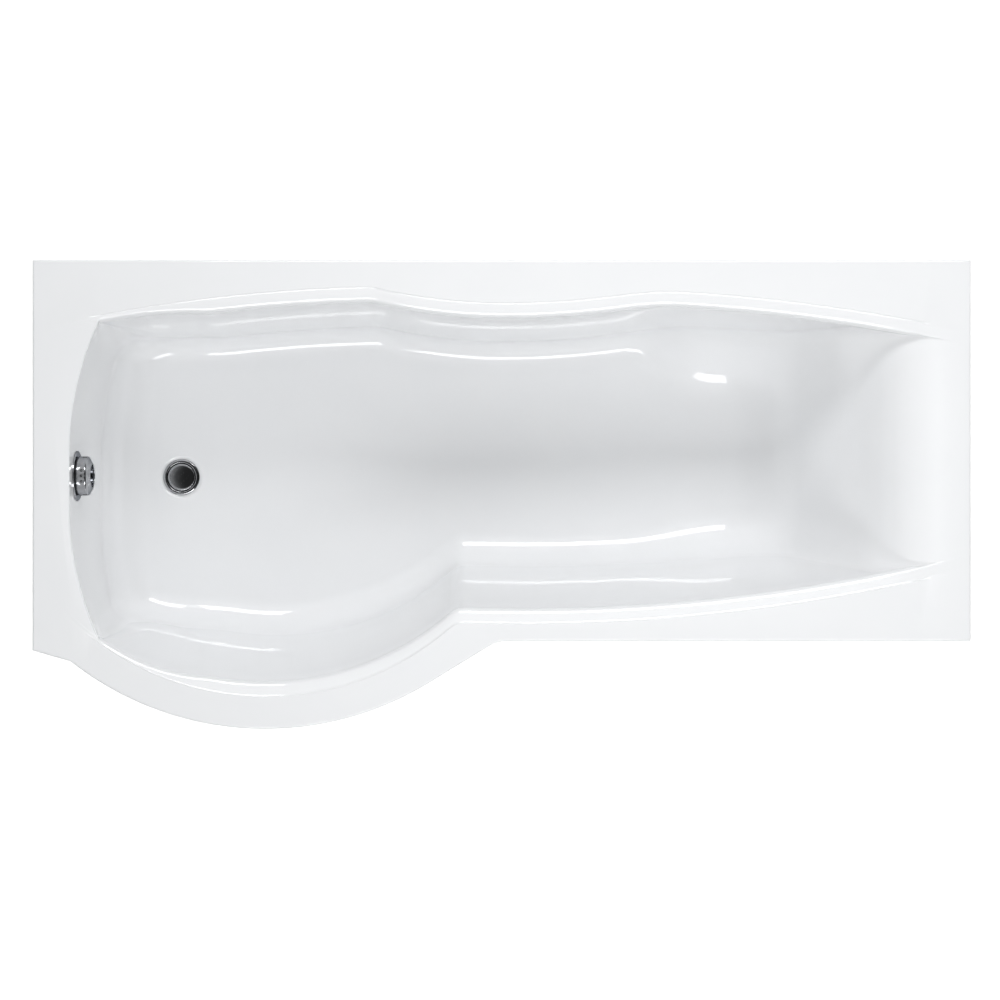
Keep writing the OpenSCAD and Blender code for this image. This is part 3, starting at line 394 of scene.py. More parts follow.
# %% Measures along the bath
DEPTH, FALL = 0.400, 0.010
EDGE_X, HEAD_X = X_TAP + 0.063, X_HEAD - 0.028
TIP_GAP, TIP_SKEW, LEDGE_DIP, TAP_ROLL = 0.019, 0.025, 0.003, 0.004
TAP_BOW, FOOT_BOW = 0.060, 0.024
TURN_START = -0.140
BACK_COVE, FRONT_COVE = 0.050, 0.070
BACK_CORNER, FRONT_CORNER = 0.150, 0.095
BACK_DRAFT, FRONT_DRAFT, TAP_DRAFT = math.radians(4.5), math.radians(12), math.radians(4)
TAP_COVE, TAP_MIDS = 0.100, 24
REST_ROLL, REST_COVE, REST_SLOPE = 0.150, 0.190, math.radians(60)


def middle(name):
    """The middle of a construction node's box."""
    low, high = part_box(name)
    return (low + high) / 2


waste = middle("waste_flange")
tap_wall = wall_line(DEPTH - LEDGE_DIP, TAP_ROLL, TAP_COVE, math.pi / 2 - TAP_DRAFT, mids=TAP_MIDS)
head_wall = wall_line(DEPTH - FALL, REST_ROLL, REST_COVE, REST_SLOPE)
foot_x = EDGE_X + tap_wall[-1][0]
rest_x = HEAD_X - head_wall[-1][0]
fall_rate = FALL / (rest_x - waste.x)
CORNER_RUN = 0.170
SHOULDER_RUN, SHOULDER_NARROW, SHOULDER_FLAT = 0.26, 0.25, 0.35
CORNER_R, CORNER_FADE, CORNER_DEPTH = 0.055, 0.150, 0.36


def ease(share):
    """A share from 0 to 1 that starts and stops gently."""
    share = min(max(share, 0), 1)
    return share * share * (3 - 2 * share)


def cove_at(x, cove, corner):
    """The side coves widen towards the backrest, so the floor's corners there are round."""
    return cove + (corner - cove) * ease((x - rest_x + CORNER_RUN) / CORNER_RUN)


def shoulder_at(x):
    """The band's width and the share of its fall, both smallest where the tap wall's ledge begins."""
    share = ease((x - EDGE_X) / SHOULDER_RUN)
    narrow, flat = SHOULDER_NARROW, SHOULDER_FLAT
    return BAND * (narrow + (1 - narrow) * share), flat + (1 - flat) * share


def corner_at(x, depth):
    """How far the tap wall curls forward where it meets the sides, so that its corners are round."""
    return CORNER_R * ease(min(depth / CORNER_DEPTH, (foot_x + CORNER_FADE - x) / CORNER_FADE))


def floor_depth(x):
    """How far the floor lies below the rim's top, on its fall to the waste."""
    return DEPTH - (x - waste.x) * fall_rate


print("the basin's floor runs from", round(foot_x, 3), "to", round(rest_x, 3))

# %% [markdown]
# The bath is drawn as stations along its length: the rim at the tap end, the ledge, the
# tap wall, the floor, the backrest and the rim at the head end. Each one has its place
# in the middle, how far it bows and skews there, and how deep the basin is. They are
# closest where the waste's dish will be pressed.

# %% Stations
def evenly(start, stop, step):
    """Places after start, up to stop, no further apart than a step."""
    count = math.ceil((stop - start) / step)
    return [start + (stop - start) * i / count for i in range(1, count + 1)]


RECESS_R, RECESS_LIP, RECESS_DEPTH = 0.0405, 0.004, 0.0025
FINE, PLAIN = 0.0026, 0.010
past_waste = waste.x + RECESS_R + FINE
floor_xs = evenly(foot_x, past_waste, FINE) + evenly(past_waste, rest_x, PLAIN)
stations = [(X_TAP, 0, 0, 0), (EDGE_X - TIP_GAP, 0, -TIP_SKEW, 0)]
LEDGE_STEPS, LEDGE_BEND = 4, 1.3
for i in range(1, LEDGE_STEPS + 1):
    share = i / LEDGE_STEPS
    left = 1 - share
    dip = LEDGE_DIP * share ** LEDGE_BEND
    stations.append((EDGE_X - TIP_GAP * left, TAP_BOW * share, -TIP_SKEW * left, dip))
stretch = 1 + (floor_depth(foot_x) - DEPTH) / (DEPTH - LEDGE_DIP)
for inward, down in tap_wall[1:]:
    share = inward / tap_wall[-1][0]
    stations.append((EDGE_X + inward, TAP_BOW + (FOOT_BOW - TAP_BOW) * share, 0, LEDGE_DIP + down * stretch))
for x in floor_xs:
    left = max(0.0, (TURN_START - x) / (TURN_START - foot_x))
    stations.append((x, FOOT_BOW * left ** 2, 0, floor_depth(x)))
stations += [(HEAD_X - inward, 0, 0, down) for inward, down in reversed(head_wall[:-1])]
stations.append((X_HEAD, 0, 0, 0))
print("stations:", len(stations))

# %% [markdown]
# The lines that run along the floor are packed closely where the waste sits, so that the
# shallow dish around it can be pressed into the same sheet.

# %% Floor lines
FLOOR_LINES = 14


def floor_shares():
    """Places across the floor, from its back edge (0) to its front edge (1)."""
    beside = np.array(waste.x + corner_at(waste.x, DEPTH))
    shoulder = shoulder_at(waste.x)
    start = float(back_crease(beside)) - side_profile(DEPTH, BACK_COVE, BACK_DRAFT, STEP, shoulder)[-1][0]
    stop = float(front_crease(beside)) + side_profile(DEPTH, FRONT_COVE, FRONT_DRAFT, STEP, shoulder)[-1][0]
    high, low = waste.y + RECESS_R + FINE, waste.y - RECESS_R - FINE
    ys = [start + (high - start) * i / FLOOR_LINES for i in range(1, FLOOR_LINES + 1)]
    count = math.ceil((high - low) / FINE)
    ys += [high + (low - high) * i / count for i in range(1, count + 1)]
    ys += [low + (stop - low) * i / FLOOR_LINES for i in range(1, FLOOR_LINES)]
    return np.array([(start - y) / (start - stop) for y in ys])


shares = floor_shares()
print("lines along the floor:", len(shares))

# %% [markdown]
# A section is one line across the bath: edge, crease, back wall, floor, front wall,
# crease and edge. At the tap end it bows everywhere but on the flat pad that carries the
# overflow, and it curls where the tap wall meets the sides. The floor's dish is pressed
# in afterwards, as a smooth step round the waste.

# %% Cross-sections
PAD_HALF = 0.051
edge_corner = np.array(EDGE_X + TAP_BOW)
PAD_W = 2 * PAD_HALF / (float(back_crease(edge_corner)) - float(front_crease(edge_corner)))


def bowed(w):
    """How far along its bow a line is at w, with a flat pad for the overflow in the middle."""
    return (np.maximum(np.abs(w) - PAD_W, 0) / (1 - PAD_W)) ** 2


WALL_END = BAND_STEPS + 1 + ROLLS + MIDS


def curl(line):
    """1 on the side walls, falling to 0 along an arc across the tap wall."""
    y_back, y_front = line[WALL_END, 0], line[-WALL_END - 1, 0]
    clear = np.clip(np.minimum(y_back - line[:, 0], line[:, 0] - y_front), 0, CORNER_R)
    return 1 - np.sqrt(1 - (1 - clear / CORNER_R) ** 2)


def section(station, step):
    """One line of points across the bath, from its back edge over the floor to its front edge."""
    x, bow, skew, depth = station
    corner = corner_at(x, depth) if x < 0 else 0.0
    x_back, x_front = x + bow + skew + corner, x + bow - skew + corner
    y_back, y_front = float(back_crease(np.array(x_back))), float(front_crease(np.array(x_front)))
    back_cove, front_cove = cove_at(x, BACK_COVE, BACK_CORNER), cove_at(x, FRONT_COVE, FRONT_CORNER)
    back_wall = side_profile(depth, back_cove, BACK_DRAFT, step, shoulder_at(x))
    front_wall = side_profile(depth, front_cove, FRONT_DRAFT, step, shoulder_at(x))
    back = [(y_back - a, -b) for a, b in back_wall]
    front = [(y_front + a, -b) for a, b in front_wall]
    across = [(back[-1][0] + (front[-1][0] - back[-1][0]) * s, back[-1][1]) for s in shares]
    edge = (float(front_edge(np.array(x_front))), 0.0)
    line = np.array([(Y_BACK, 0.0)] + back + across + front[::-1] + [edge])
    w = np.clip((2 * line[:, 0] - y_back - y_front) / (y_back - y_front), -1, 1)
    x_line = x + bow * bowed(w) + skew * w + corner * curl(line)
    return np.column_stack([x_line, line[:, 0], rim_z + line[:, 1]])


top_skin = np.array([section(s, STEP) for s in stations])
base_skin = np.array([section(s, BAND_FALL * STEP_RUN / BAND) for s in stations])
from_waste = np.hypot(top_skin[..., 0] - waste.x, top_skin[..., 1] - waste.y)
dish = np.clip((RECESS_R - from_waste) / RECESS_LIP, 0, 1)
top_skin[..., 2] -= RECESS_DEPTH * dish * dish * (3 - 2 * dish)
print("grid:", top_skin.shape[:2])

# %% [markdown]
# The underside is the same sheet moved back along its own normals by the thickness of
# acrylic and glass fibre together, and a down-turned skirt closes the two all round.

# %% Underside and edge
SHELL_T = 0.006
SKIRT_H, SKIRT_EDGE, EDGE_R, EDGE_STEPS = 0.030, 0.001, 0.005, 6

along, across = base_skin.copy(), base_skin.copy()
along[1:-1] = base_skin[2:] - base_skin[:-2]
across[:, 1:-1] = base_skin[:, 2:] - base_skin[:, :-2]
normal = np.cross(across, along)
normal /= np.maximum(np.linalg.norm(normal, axis=2, keepdims=True), 1e-9)
under_skin = base_skin - SHELL_T * normal
NU, NV = top_skin.shape[:2]
loop = ([(u, 0) for u in range(NU)] + [(NU - 1, v) for v in range(1, NV)]
        + [(u, NV - 1) for u in range(NU - 2, -1, -1)] + [(0, v) for v in range(NV - 2, 0, -1)])
loop_xy = np.array([top_skin[u, v, :2] for u, v in loop])


def inward(points):
    """The mitred inward direction at each point of a loop that runs clockwise from above."""
    before = points - np.roll(points, 1, axis=0)
    after = np.roll(points, -1, axis=0) - points
    a = np.column_stack([before[:, 1], -before[:, 0]]) / np.linalg.norm(before, axis=1, keepdims=True)
    b = np.column_stack([after[:, 1], -after[:, 0]]) / np.linalg.norm(after, axis=1, keepdims=True)
    return (a + b) / (1 + np.sum(a * b, axis=1, keepdims=True))


loop_in = inward(loop_xy)


def ring(inset, down):
    """The outline moved inwards and down from the rim's top."""
    return np.column_stack([loop_xy + inset * loop_in, np.full(len(loop), rim_z - down)])


def edge_rings():
    """Rings round the rim's soft edge and down the skirt, to its inner corner."""
    made = []
    for i in range(1, EDGE_STEPS + 1):
        turn = math.pi / 2 * i / EDGE_STEPS
        made.append(ring(EDGE_R * (1 - math.sin(turn)), EDGE_R * (1 - math.cos(turn))))
    return made + [ring(0, SKIRT_H - SKIRT_EDGE), ring(SKIRT_EDGE, SKIRT_H), ring(SHELL_T, SKIRT_H)]


print("points round the rim:", len(loop))

# %% [markdown]
# The points now become faces: one grid of quads for the face that is bathed in, one
# turned over for the underside, and strips round the rim that join them over the soft
# edge and the skirt. The underside has a material of its own.

# %% Shell mesh
top_ring, under_ring = ring(EDGE_R, 0), ring(SHELL_T, SHELL_T)
for i, (u, v) in enumerate(loop):
    top_skin[u, v] = top_ring[i]
    under_skin[u, v] = under_ring[i]
rings = edge_rings()
grid = np.arange(NU * NV).reshape(NU, NV)
quads = np.stack([grid[:-1, :-1], grid[1:, :-1], grid[1:, 1:], grid[:-1, 1:]], axis=-1).reshape(-1, 4)
loop_id = np.array([grid[u, v] for u, v in loop])
edge_ids = [2 * NU * NV + k * len(loop) + np.arange(len(loop)) for k in range(len(rings))]
chain = [loop_id] + edge_ids + [loop_id + NU * NV]
faces = [quads[:, ::-1], quads + NU * NV]
for upper, beneath in zip(chain[:-1], chain[1:]):
    faces.append(np.stack([np.roll(upper, -1), np.roll(beneath, -1), beneath, upper], axis=-1))
face_list = np.concatenate(faces)
ACRYLIC, FIBRE = 0, 1
face_slot = np.full(len(face_list), ACRYLIC)
face_slot[len(quads):2 * len(quads)] = FIBRE
face_slot[-len(loop):] = FIBRE
vertices = np.concatenate([top_skin.reshape(-1, 3), under_skin.reshape(-1, 3)] + rings)
shell_mesh = bpy.data.meshes.new("bath_shell_acrylic")
shell_mesh.from_pydata(vertices.tolist(), [], face_list.tolist())
shell_mesh.polygons.foreach_set("material_index", face_slot)
shell = in_scene("bath_shell_acrylic", shell_mesh)
print("shell faces:", len(face_list))

# %% [markdown]
# White acrylic is glossy and faintly cool. Its skin is never perfectly flat: a very long
# wave from forming shows in the reflections. Behind it, the reinforcement is chopped
# glass strand in resin, sprayed on and rolled by hand.

# %% Acrylic and glass fibre
acrylic = Finish("white_acrylic", (0.86, 0.87, 0.88), 0.09, coat=0.35)
acrylic.shader.inputs["Coat Roughness"].default_value = 0.03
wave = acrylic.noise(3.0, 2.0)
acrylic.set("Base Color", acrylic.mix(acrylic.noise(9.0, 4.0), (0.845, 0.855, 0.868), (0.875, 0.882, 0.890)))
acrylic.set("Roughness", wave * 0.03 + 0.045)
acrylic.bump(wave, 0.0009, 0.35)

fibre = Finish("glass_fibre", (0.80, 0.80, 0.76), 0.42)
strands = fibre.noise(160.0, 6.0, (1, 3.2, 1)) * 0.6 + fibre.noise(160.0, 6.0, (3.2, 1, 2)) * 0.6
strand_mask = strands.between(0.45, 0.75)
fibre.set("Base Color", fibre.mix(strand_mask, (0.66, 0.65, 0.58), (0.86, 0.85, 0.80)))
fibre.set("Roughness", strand_mask * 0.25 + 0.32)
fibre.bump(strands + fibre.noise(22.0, 3.0) * 1.4, 0.0016, 0.8)
shell_mesh.materials.append(acrylic.material)
shell_mesh.materials.append(fibre.material)
print("shell finishes:", [m.name for m in shell_mesh.materials])

# %% [markdown]
# Holes are cut as a drill would cut them, by taking a round tool's shape out of a piece
# with a boolean. It is applied at once, so that a plain mesh is left. Smoothing then
# keeps every edge crisp that is sharper than an angle, such as the rim of a hole.

# %% Cutting and smoothing
CUTTER_SIDES = 96


def tool_of(shape):
    """Turns a finished shape into an object that cuts."""
    mesh = bpy.data.meshes.new("cutter")
    shape.to_mesh(mesh)
    shape.free()
    return in_scene("cutter", mesh)


def cutter(place, axis, radius, length, sides=CUTTER_SIDES):
    """A round cutter, centred on its place and turned to an axis."""
    shape = bmesh.new()
    bmesh.ops.create_cone(shape, cap_ends=True, segments=sides, radius1=radius, radius2=radius, depth=length)
    turn = Vector((0, 0, 1)).rotation_difference(Vector(axis)).to_matrix().to_4x4()
    shape.transform(Matrix.Translation(place) @ turn)
    return tool_of(shape)


def freeze(obj):
    """Replaces an object's mesh by what its modifiers make of it."""
    bpy.context.view_layer.update()
    graph = bpy.context.evaluated_depsgraph_get()
    mesh = bpy.data.meshes.new_from_object(obj.evaluated_get(graph), depsgraph=graph)
    obj.modifiers.clear()
    obj.data = mesh


def cut(obj, tools):
    """Takes the cutters out of an object and deletes them."""
    for tool in tools:
        drill = obj.modifiers.new("hole", "BOOLEAN")
        drill.operation = "DIFFERENCE"
        drill.solver = "EXACT"
        drill.object = tool
    freeze(obj)
    for tool in tools:
        bpy.data.objects.remove(tool)
    return obj


def smooth(obj, degrees=35):
    """Smooth shading, with edges sharper than the angle kept crisp."""
    mesh = obj.data
    mesh.polygons.foreach_set("use_smooth", [True] * len(mesh.polygons))
    shape = bmesh.new()
    shape.from_mesh(mesh)
    for edge in shape.edges:
        edge.smooth = len(edge.link_faces) != 2 or edge.calc_face_angle(0) < math.radians(degrees)
    shape.to_mesh(mesh)
    shape.free()


# %% [markdown]
# The bath's two holes are drilled after forming, with a millimetre of room round the
# necks of the waste and the overflow. The overflow's hole is square to the leaning wall.

# %% Drilled holes
HOLE_R, WASTE_DRILL, OVERFLOW_DRILL = 0.026, 0.060, 0.070
overflow_axis = Vector((math.cos(TAP_DRAFT), 0, math.sin(TAP_DRAFT)))
knob_joint = next(j for j in frame["joints"] if j["name"] == "knob_turn")
overflow = Vector(knob_joint["pos_m"])
cut(shell, [cutter(waste, (0, 0, 1), HOLE_R, WASTE_DRILL),
            cutter(overflow, overflow_axis, HOLE_R, OVERFLOW_DRILL)])
smooth(shell)
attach(shell, "root")
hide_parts("bath_shell")
print("shell box:", [round(v, 4) for v in shell.dimensions])

# %% [markdown]
# The metal fittings are turned parts, so each is a profile spun round its axis. Corners
# carry a small radius, since that is where polished metal catches the light.

# %% Turning
ARC_STEPS = 5
SIDES = 128


def rounded(corners):
    """A profile of (radius, height) points from corners (radius, height, corner radius)."""
    points = []
    for i, (r, z, bend) in enumerate(corners):
        here = Vector((r, z))
        if bend == 0 or i in (0, len(corners) - 1):
            points.append((r, z))
            continue
        before = Vector(corners[i - 1][:2]) - here
        after = Vector(corners[i + 1][:2]) - here
        reach = min(bend, before.length * 0.49, after.length * 0.49)
        start, stop = here + before.normalized() * reach, here + after.normalized() * reach
        for k in range(ARC_STEPS + 1):
            t = k / ARC_STEPS
            p = start * (1 - t) ** 2 + here * 2 * t * (1 - t) + stop * t ** 2
            points.append((p.x, p.y))
    return points


def mesh_object(name, points, face_list, finish):
    """A closed piece: points that coincide are joined, and all faces look outwards."""
    mesh = bpy.data.meshes.new(name)
    mesh.from_pydata([tuple(p) for p in points], [], [tuple(f) for f in face_list])
    shape = bmesh.new()
    shape.from_mesh(mesh)
    bmesh.ops.remove_doubles(shape, verts=shape.verts, dist=1e-6)
    bmesh.ops.recalc_face_normals(shape, faces=shape.faces)
    shape.to_mesh(mesh)
    shape.free()
    mesh.materials.append(finish.material)
    return in_scene(name, mesh)


def as_turned(r, z, turn):
    """The plain case of a radius that may waver with the angle."""
    return r


def spun(name, profile, frame_of, finish, sides=SIDES, ring_closed=True, waver=as_turned):
    """A turned piece: a closed loop of (radius, height), or a line open where it meets the axis."""
    turns = [2 * math.pi * i / sides for i in range(sides)]
    points = []
    for r, z in profile:
        for t in turns:
            out = waver(r, z, t)
            points.append(frame_of @ Vector((out * math.cos(t), out * math.sin(t), z)))
    rows = len(profile) if ring_closed else len(profile) - 1
    face_list = []
    for k in range(rows):
        a, b = k * sides, ((k + 1) % len(profile)) * sides
        face_list += [(a + i, a + (i + 1) % sides, b + (i + 1) % sides, b + i) for i in range(sides)]
    made = mesh_object(name, points, face_list, finish)
    bpy.context.view_layer.update()
    return made


# %% [markdown]
# Grids and strainers are rings of holes round a middle, cut by one tool repeated. Each
# finished piece is shaded and tied to the body that it moves with, and the node of the
# construction model that it replaces is hidden.

# %% Rings of holes, and settling a piece
def drills(frame_of, axis, rings, height, length, sides=CUTTER_SIDES):
    """One cutter for each hole; a ring is (count, radius of the ring, radius of a hole)."""
    made = []
    for count, at, radius in rings:
        for i in range(count):
            turn = 2 * math.pi * i / count
            spot = frame_of @ Vector((at * math.cos(turn), at * math.sin(turn), height))
            made.append(cutter(spot, axis, radius, length, sides))
    return made


def settle(piece, body, node_name, degrees=30):
    """Shades a piece, lets it ride on its body and hides the construction node that it replaces."""
    smooth(piece, degrees)
    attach(piece, body)
    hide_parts(node_name)


floor_top = rim_z - DEPTH
waste_frame = Matrix.Translation((waste.x, waste.y, floor_top))
overflow_frame = Matrix.Translation(overflow) @ Matrix.Rotation(math.pi / 2 - TAP_DRAFT, 4, "Y")
print("height of the floor at the waste:", round(floor_top, 3))

# %% [markdown]
# Chrome is nearly perfect metal. What makes it look real is a trace of uneven polish
# and a few water marks that dull it here and there.

# %% Chrome
chrome = Finish("polished_chrome", (0.46, 0.465, 0.48), 0.07, metal=1.0)
chrome.shader.inputs["Specular Tint"].default_value = (0.40, 0.41, 0.43, 1)
marks = chrome.noise(240.0, 5.0).between(0.52, 0.72)
chrome.set("Roughness", marks * 0.10 + 0.05)
chrome.set("Base Color", chrome.mix(marks, (0.45, 0.455, 0.47), (0.50, 0.50, 0.51)))
chrome.bump(chrome.noise(60.0, 2.0), 0.0002, 0.25)

rubber = Finish("black_rubber", (0.03, 0.03, 0.032), 0.55)
rubber.set("Roughness", rubber.noise(300.0, 4.0) * 0.25 + 0.45)
rubber.bump(rubber.noise(900.0, 2.0), 0.0001, 0.5)
print("finishes:", chrome.material.name, rubber.material.name)

# %% [markdown]
# Moulded plastic carries the fine texture of its mould. Four tones of it serve the
# waste's body, the hose, the small levers and nuts, and the feet.

# %% Moulded plastics
def moulded(name, colour, rough, dark):
    """Plastic with the fine texture of its mould and slightly uneven colour."""
    made = Finish(name, colour, rough)
    made.set("Base Color", made.mix(made.noise(35.0, 3.0), tuple(c * dark for c in colour), colour))
    made.set("Roughness", made.noise(500.0, 2.0) * 0.18 + rough)
    made.bump(made.noise(1500.0, 2.0), 0.00006, 0.6)
    return made


white_plastic = moulded("white_polypropylene", (0.80, 0.80, 0.79), 0.32, 0.94)
hose_plastic = moulded("ribbed_hose_plastic", (0.74, 0.74, 0.73), 0.36, 0.93)
grey_plastic = moulded("grey_acetal", (0.33, 0.34, 0.35), 0.35, 0.88)
black_plastic = moulded("black_nylon", (0.035, 0.035, 0.038), 0.38, 0.7)
plastics = (white_plastic, hose_plastic, grey_plastic, black_plastic)
print("plastics:", [plastic.material.name for plastic in plastics])

# %% [markdown]
# The waste is a dished flange screwed through the floor, with a flat plug on a seal
# inside it. The plug rises a little way on its stem when the control is turned.

# %% Waste and plug
flange_low, flange_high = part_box("waste_flange")
FLANGE_R = (flange_high.x - flange_low.x) / 2
FLANGE_TOP = flange_high.z - floor_top
NECK_END = flange_low.z - floor_top
MOUTH_R, THROAT_R, NECK_R, STEM_R = FLANGE_R - 0.007, 0.022, 0.025, 0.00308
FLANGE_BACK, WEB_Z, WEB_T = -0.0014, -0.024, 0.004
WEB_TOP, WEB_HOLES = WEB_Z + WEB_T, [(6, 0.013, 0.0054)]
flange = spun("waste_flange_chrome", rounded([
    (NECK_R, FLANGE_BACK, 0), (FLANGE_R, FLANGE_BACK, 0.0002), (FLANGE_R, 0.0, 0.0008),
    (FLANGE_R - 0.0032, FLANGE_TOP, 0.0016), (MOUTH_R + 0.0010, FLANGE_TOP, 0.0010),
    (MOUTH_R, 0.0009, 0.0006), (THROAT_R, -0.006, 0.002), (THROAT_R, WEB_TOP, 0.0004),
    (STEM_R, WEB_TOP, 0.0002), (STEM_R, WEB_Z, 0.0002), (THROAT_R, WEB_Z, 0.0004),
    (THROAT_R, NECK_END, 0.0003), (NECK_R, NECK_END, 0.0003), (NECK_R, FLANGE_BACK, 0)]),
    waste_frame, chrome)
settle(cut(flange, drills(waste_frame, (0, 0, 1), WEB_HOLES, WEB_Z + WEB_T / 2, 3 * WEB_T)),
       "root", "waste_flange")

cap_low, cap_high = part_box("plug_cap")
CAP_R = (cap_high.x - cap_low.x) / 2
CAP_Z, CAP_T = cap_low.z - floor_top, cap_high.z - cap_low.z
cap = spun("plug_cap_chrome", rounded([
    (0, CAP_Z, 0), (CAP_R - 0.001, CAP_Z, 0.0005), (CAP_R, CAP_Z + 0.001, 0.0006),
    (CAP_R - 0.0006, CAP_Z + CAP_T * 0.55, 0.001), (CAP_R - 0.0035, CAP_Z + CAP_T * 0.78, 0.003),
    (CAP_R * 0.55, CAP_Z + CAP_T * 0.93, 0.008), (0, CAP_Z + CAP_T, 0)]),
    waste_frame, chrome, ring_closed=False)
settle(cap, "plug", "plug_cap", 45)

# %% [markdown]
# The overflow is a flat round rose against the wall, with a perforated strainer on it.
# The turning control stands clear of both, so water enters round the back of its edge.
# The strainer's black is partly its own colour and partly painted shade for that gap.

# %% Rose and strainer
knob_low, knob_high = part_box("control_knob")
rose_low, rose_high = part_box("overflow_rose")
KNOB_R, ROSE_R = (knob_high.y - knob_low.y) / 2, (rose_high.y - rose_low.y) / 2
ROSE_T, STRAINER_T, ROSE_GAP, SEAT = 0.003, 0.0008, 0.0005, 0.0003
KNOB_Z, KNOB_H, RIM_TOP = ROSE_T + STRAINER_T + ROSE_GAP + SEAT, 0.029, 0.021
FRONT_R, FRONT_W, FRONT_DEEP, SPINDLE_R = 0.0235, 0.003, 0.007, 0.004
FRONT_IN, FACE_Z = FRONT_R - FRONT_W, KNOB_H - FRONT_DEEP
ROSE_BORE, ROSE_BACK, ROSE_HOLES = 0.0041, -0.020, [(6, 0.015, 0.006)]
rose = spun("overflow_rose_chrome", rounded([
    (ROSE_BORE, ROSE_BACK, 0), (NECK_R, ROSE_BACK, 0.0004), (NECK_R, SEAT, 0.0002), (ROSE_R, SEAT, 0.0003),
    (ROSE_R, ROSE_T - 0.0010, 0.0010), (ROSE_R - 0.0014, ROSE_T, 0.0012), (ROSE_BORE, ROSE_T, 0.0003),
    (ROSE_BORE, ROSE_BACK, 0)]), overflow_frame, chrome)
settle(cut(rose, drills(overflow_frame, overflow_axis, ROSE_HOLES, -0.008, 0.040)),
       "root", "overflow_rose")

STRAINER_BORE, STRAINER_R, STRAINER_Z = SPINDLE_R + 0.002, KNOB_R - 0.001, ROSE_T + 0.0001
STRAINER_TOP = STRAINER_Z + STRAINER_T
STRAINER_HOLES = [(9, 0.0115, 0.0015), (14, 0.0165, 0.0015), (20, 0.0215, 0.0013)]
# The strainer's black plastic also stands in for the shade in the gap behind the control: painted shade.
strainer = spun("overflow_strainer_plate_shade", rounded([
    (STRAINER_BORE, STRAINER_Z, 0), (STRAINER_R, STRAINER_Z, 0.0002), (STRAINER_R, STRAINER_TOP, 0.0003),
    (STRAINER_BORE, STRAINER_TOP, 0.0002), (STRAINER_BORE, STRAINER_Z, 0)]), overflow_frame, black_plastic)
settle(cut(strainer, drills(overflow_frame, overflow_axis, STRAINER_HOLES, STRAINER_Z, 0.004, 16)),
       "root", "overflow_strainer")

print("rose radius:", round(ROSE_R, 4), "strainer holes:", sum(holes for holes, at, radius in STRAINER_HOLES))

# %% [markdown]
# The control's rim slopes in to a raised edge round a dished front. Slots across the rim
# give wet fingers a hold. It is turned as one profile, and the slots are then cut with a
# round-ended tool.

# %% Overflow control
GRIP_R, GRIP_Z = KNOB_R - 0.003, KNOB_Z + 0.004
knob = spun("control_knob_chrome", rounded([
    (SPINDLE_R, GRIP_Z, 0), (GRIP_R, GRIP_Z, 0.0008), (GRIP_R, KNOB_Z, 0.0003),
    (KNOB_R - 0.0006, KNOB_Z, 0.0003), (KNOB_R, KNOB_Z + 0.0008, 0.0006), (KNOB_R, RIM_TOP, 0.0020),
    (KNOB_R - 0.0015, RIM_TOP + 0.002, 0.0020), (FRONT_R + 0.0015, KNOB_H - 0.001, 0.0016),
    (FRONT_R, KNOB_H, 0.0010), (FRONT_IN + 0.0005, KNOB_H, 0.0004), (FRONT_IN, KNOB_H - 0.0006, 0.0005),
    (FRONT_IN, FACE_Z, 0.0002), (SPINDLE_R, FACE_Z, 0), (SPINDLE_R, GRIP_Z, 0)]), overflow_frame, chrome)
SLOT_GROUPS, SLOT_COUNT, SLOT_PITCH, SLOT_Z = 4, 3, 0.010, 0.017
SLOT_DEEP, SLOT_W, SLOT_L = 0.014, 0.005, 0.012


def slot_cutter(place, turn):
    """A round-ended slot, cut across the control's rim."""
    shape = bmesh.new()
    bmesh.ops.create_cube(shape, size=1, matrix=Matrix.Diagonal((SLOT_DEEP, SLOT_W, SLOT_L, 1)))
    inwards = [e for e in shape.edges if abs(e.verts[0].co.x - e.verts[1].co.x) > SLOT_DEEP / 2]
    bmesh.ops.bevel(shape, geom=inwards, offset=SLOT_W * 0.45, segments=5, affect="EDGES")
    shape.transform(overflow_frame @ Matrix.Rotation(turn, 4, "Z") @ Matrix.Translation(place))
    return tool_of(shape)


slots = []
for group in range(SLOT_GROUPS):
    for i in range(SLOT_COUNT):
        across_rim = (i - (SLOT_COUNT - 1) / 2) * SLOT_PITCH
        slots.append(slot_cutter((KNOB_R, across_rim, SLOT_Z), 2 * math.pi * group / SLOT_GROUPS))
settle(cut(knob, slots), "knob", "control_knob", 28)

FACE_R, FACE_BACK = FRONT_IN - SEAT, FACE_Z + 0.0001
face = spun("knob_face_chrome", rounded([
    (0, FACE_BACK, 0), (FACE_R, FACE_BACK, 0.0002), (FACE_R, FACE_Z + 0.0015, 0.0004),
    (FACE_R - 0.0005, FACE_Z + 0.002, 0.0005), (0, FACE_Z + 0.0023, 0)]),
    overflow_frame, chrome, ring_closed=False)
settle(face, "knob", "knob_face", 45)
print("flange radius:", round(FLANGE_R, 4), "control radius:", round(KNOB_R, 4))

# %% [markdown]
# Under the rim nobody polishes anything: pressed steel with its zinc spangle, plated
# screws, sawn timber, and chipboard sealed with resin.

# %% Working materials
spangled = Finish("galvanised_steel", (0.55, 0.57, 0.58), 0.4, metal=1.0)
spangle = spangled.cells(130.0, "Color")
spangled.set("Base Color", spangled.mix(spangle, (0.46, 0.48, 0.50), (0.66, 0.68, 0.69)))
spangled.set("Roughness", spangled.noise(90.0, 4.0) * 0.3 + 0.25)
spangled.bump(spangled.noise(700.0, 2.0), 0.0001, 0.4)

plated = Finish("zinc_plate", (0.62, 0.61, 0.56), 0.3, metal=1.0)
plated.set("Base Color", plated.mix(plated.noise(150.0, 3.0), (0.66, 0.64, 0.52), (0.62, 0.64, 0.66)))
plated.set("Roughness", plated.noise(400.0, 3.0) * 0.25 + 0.22)

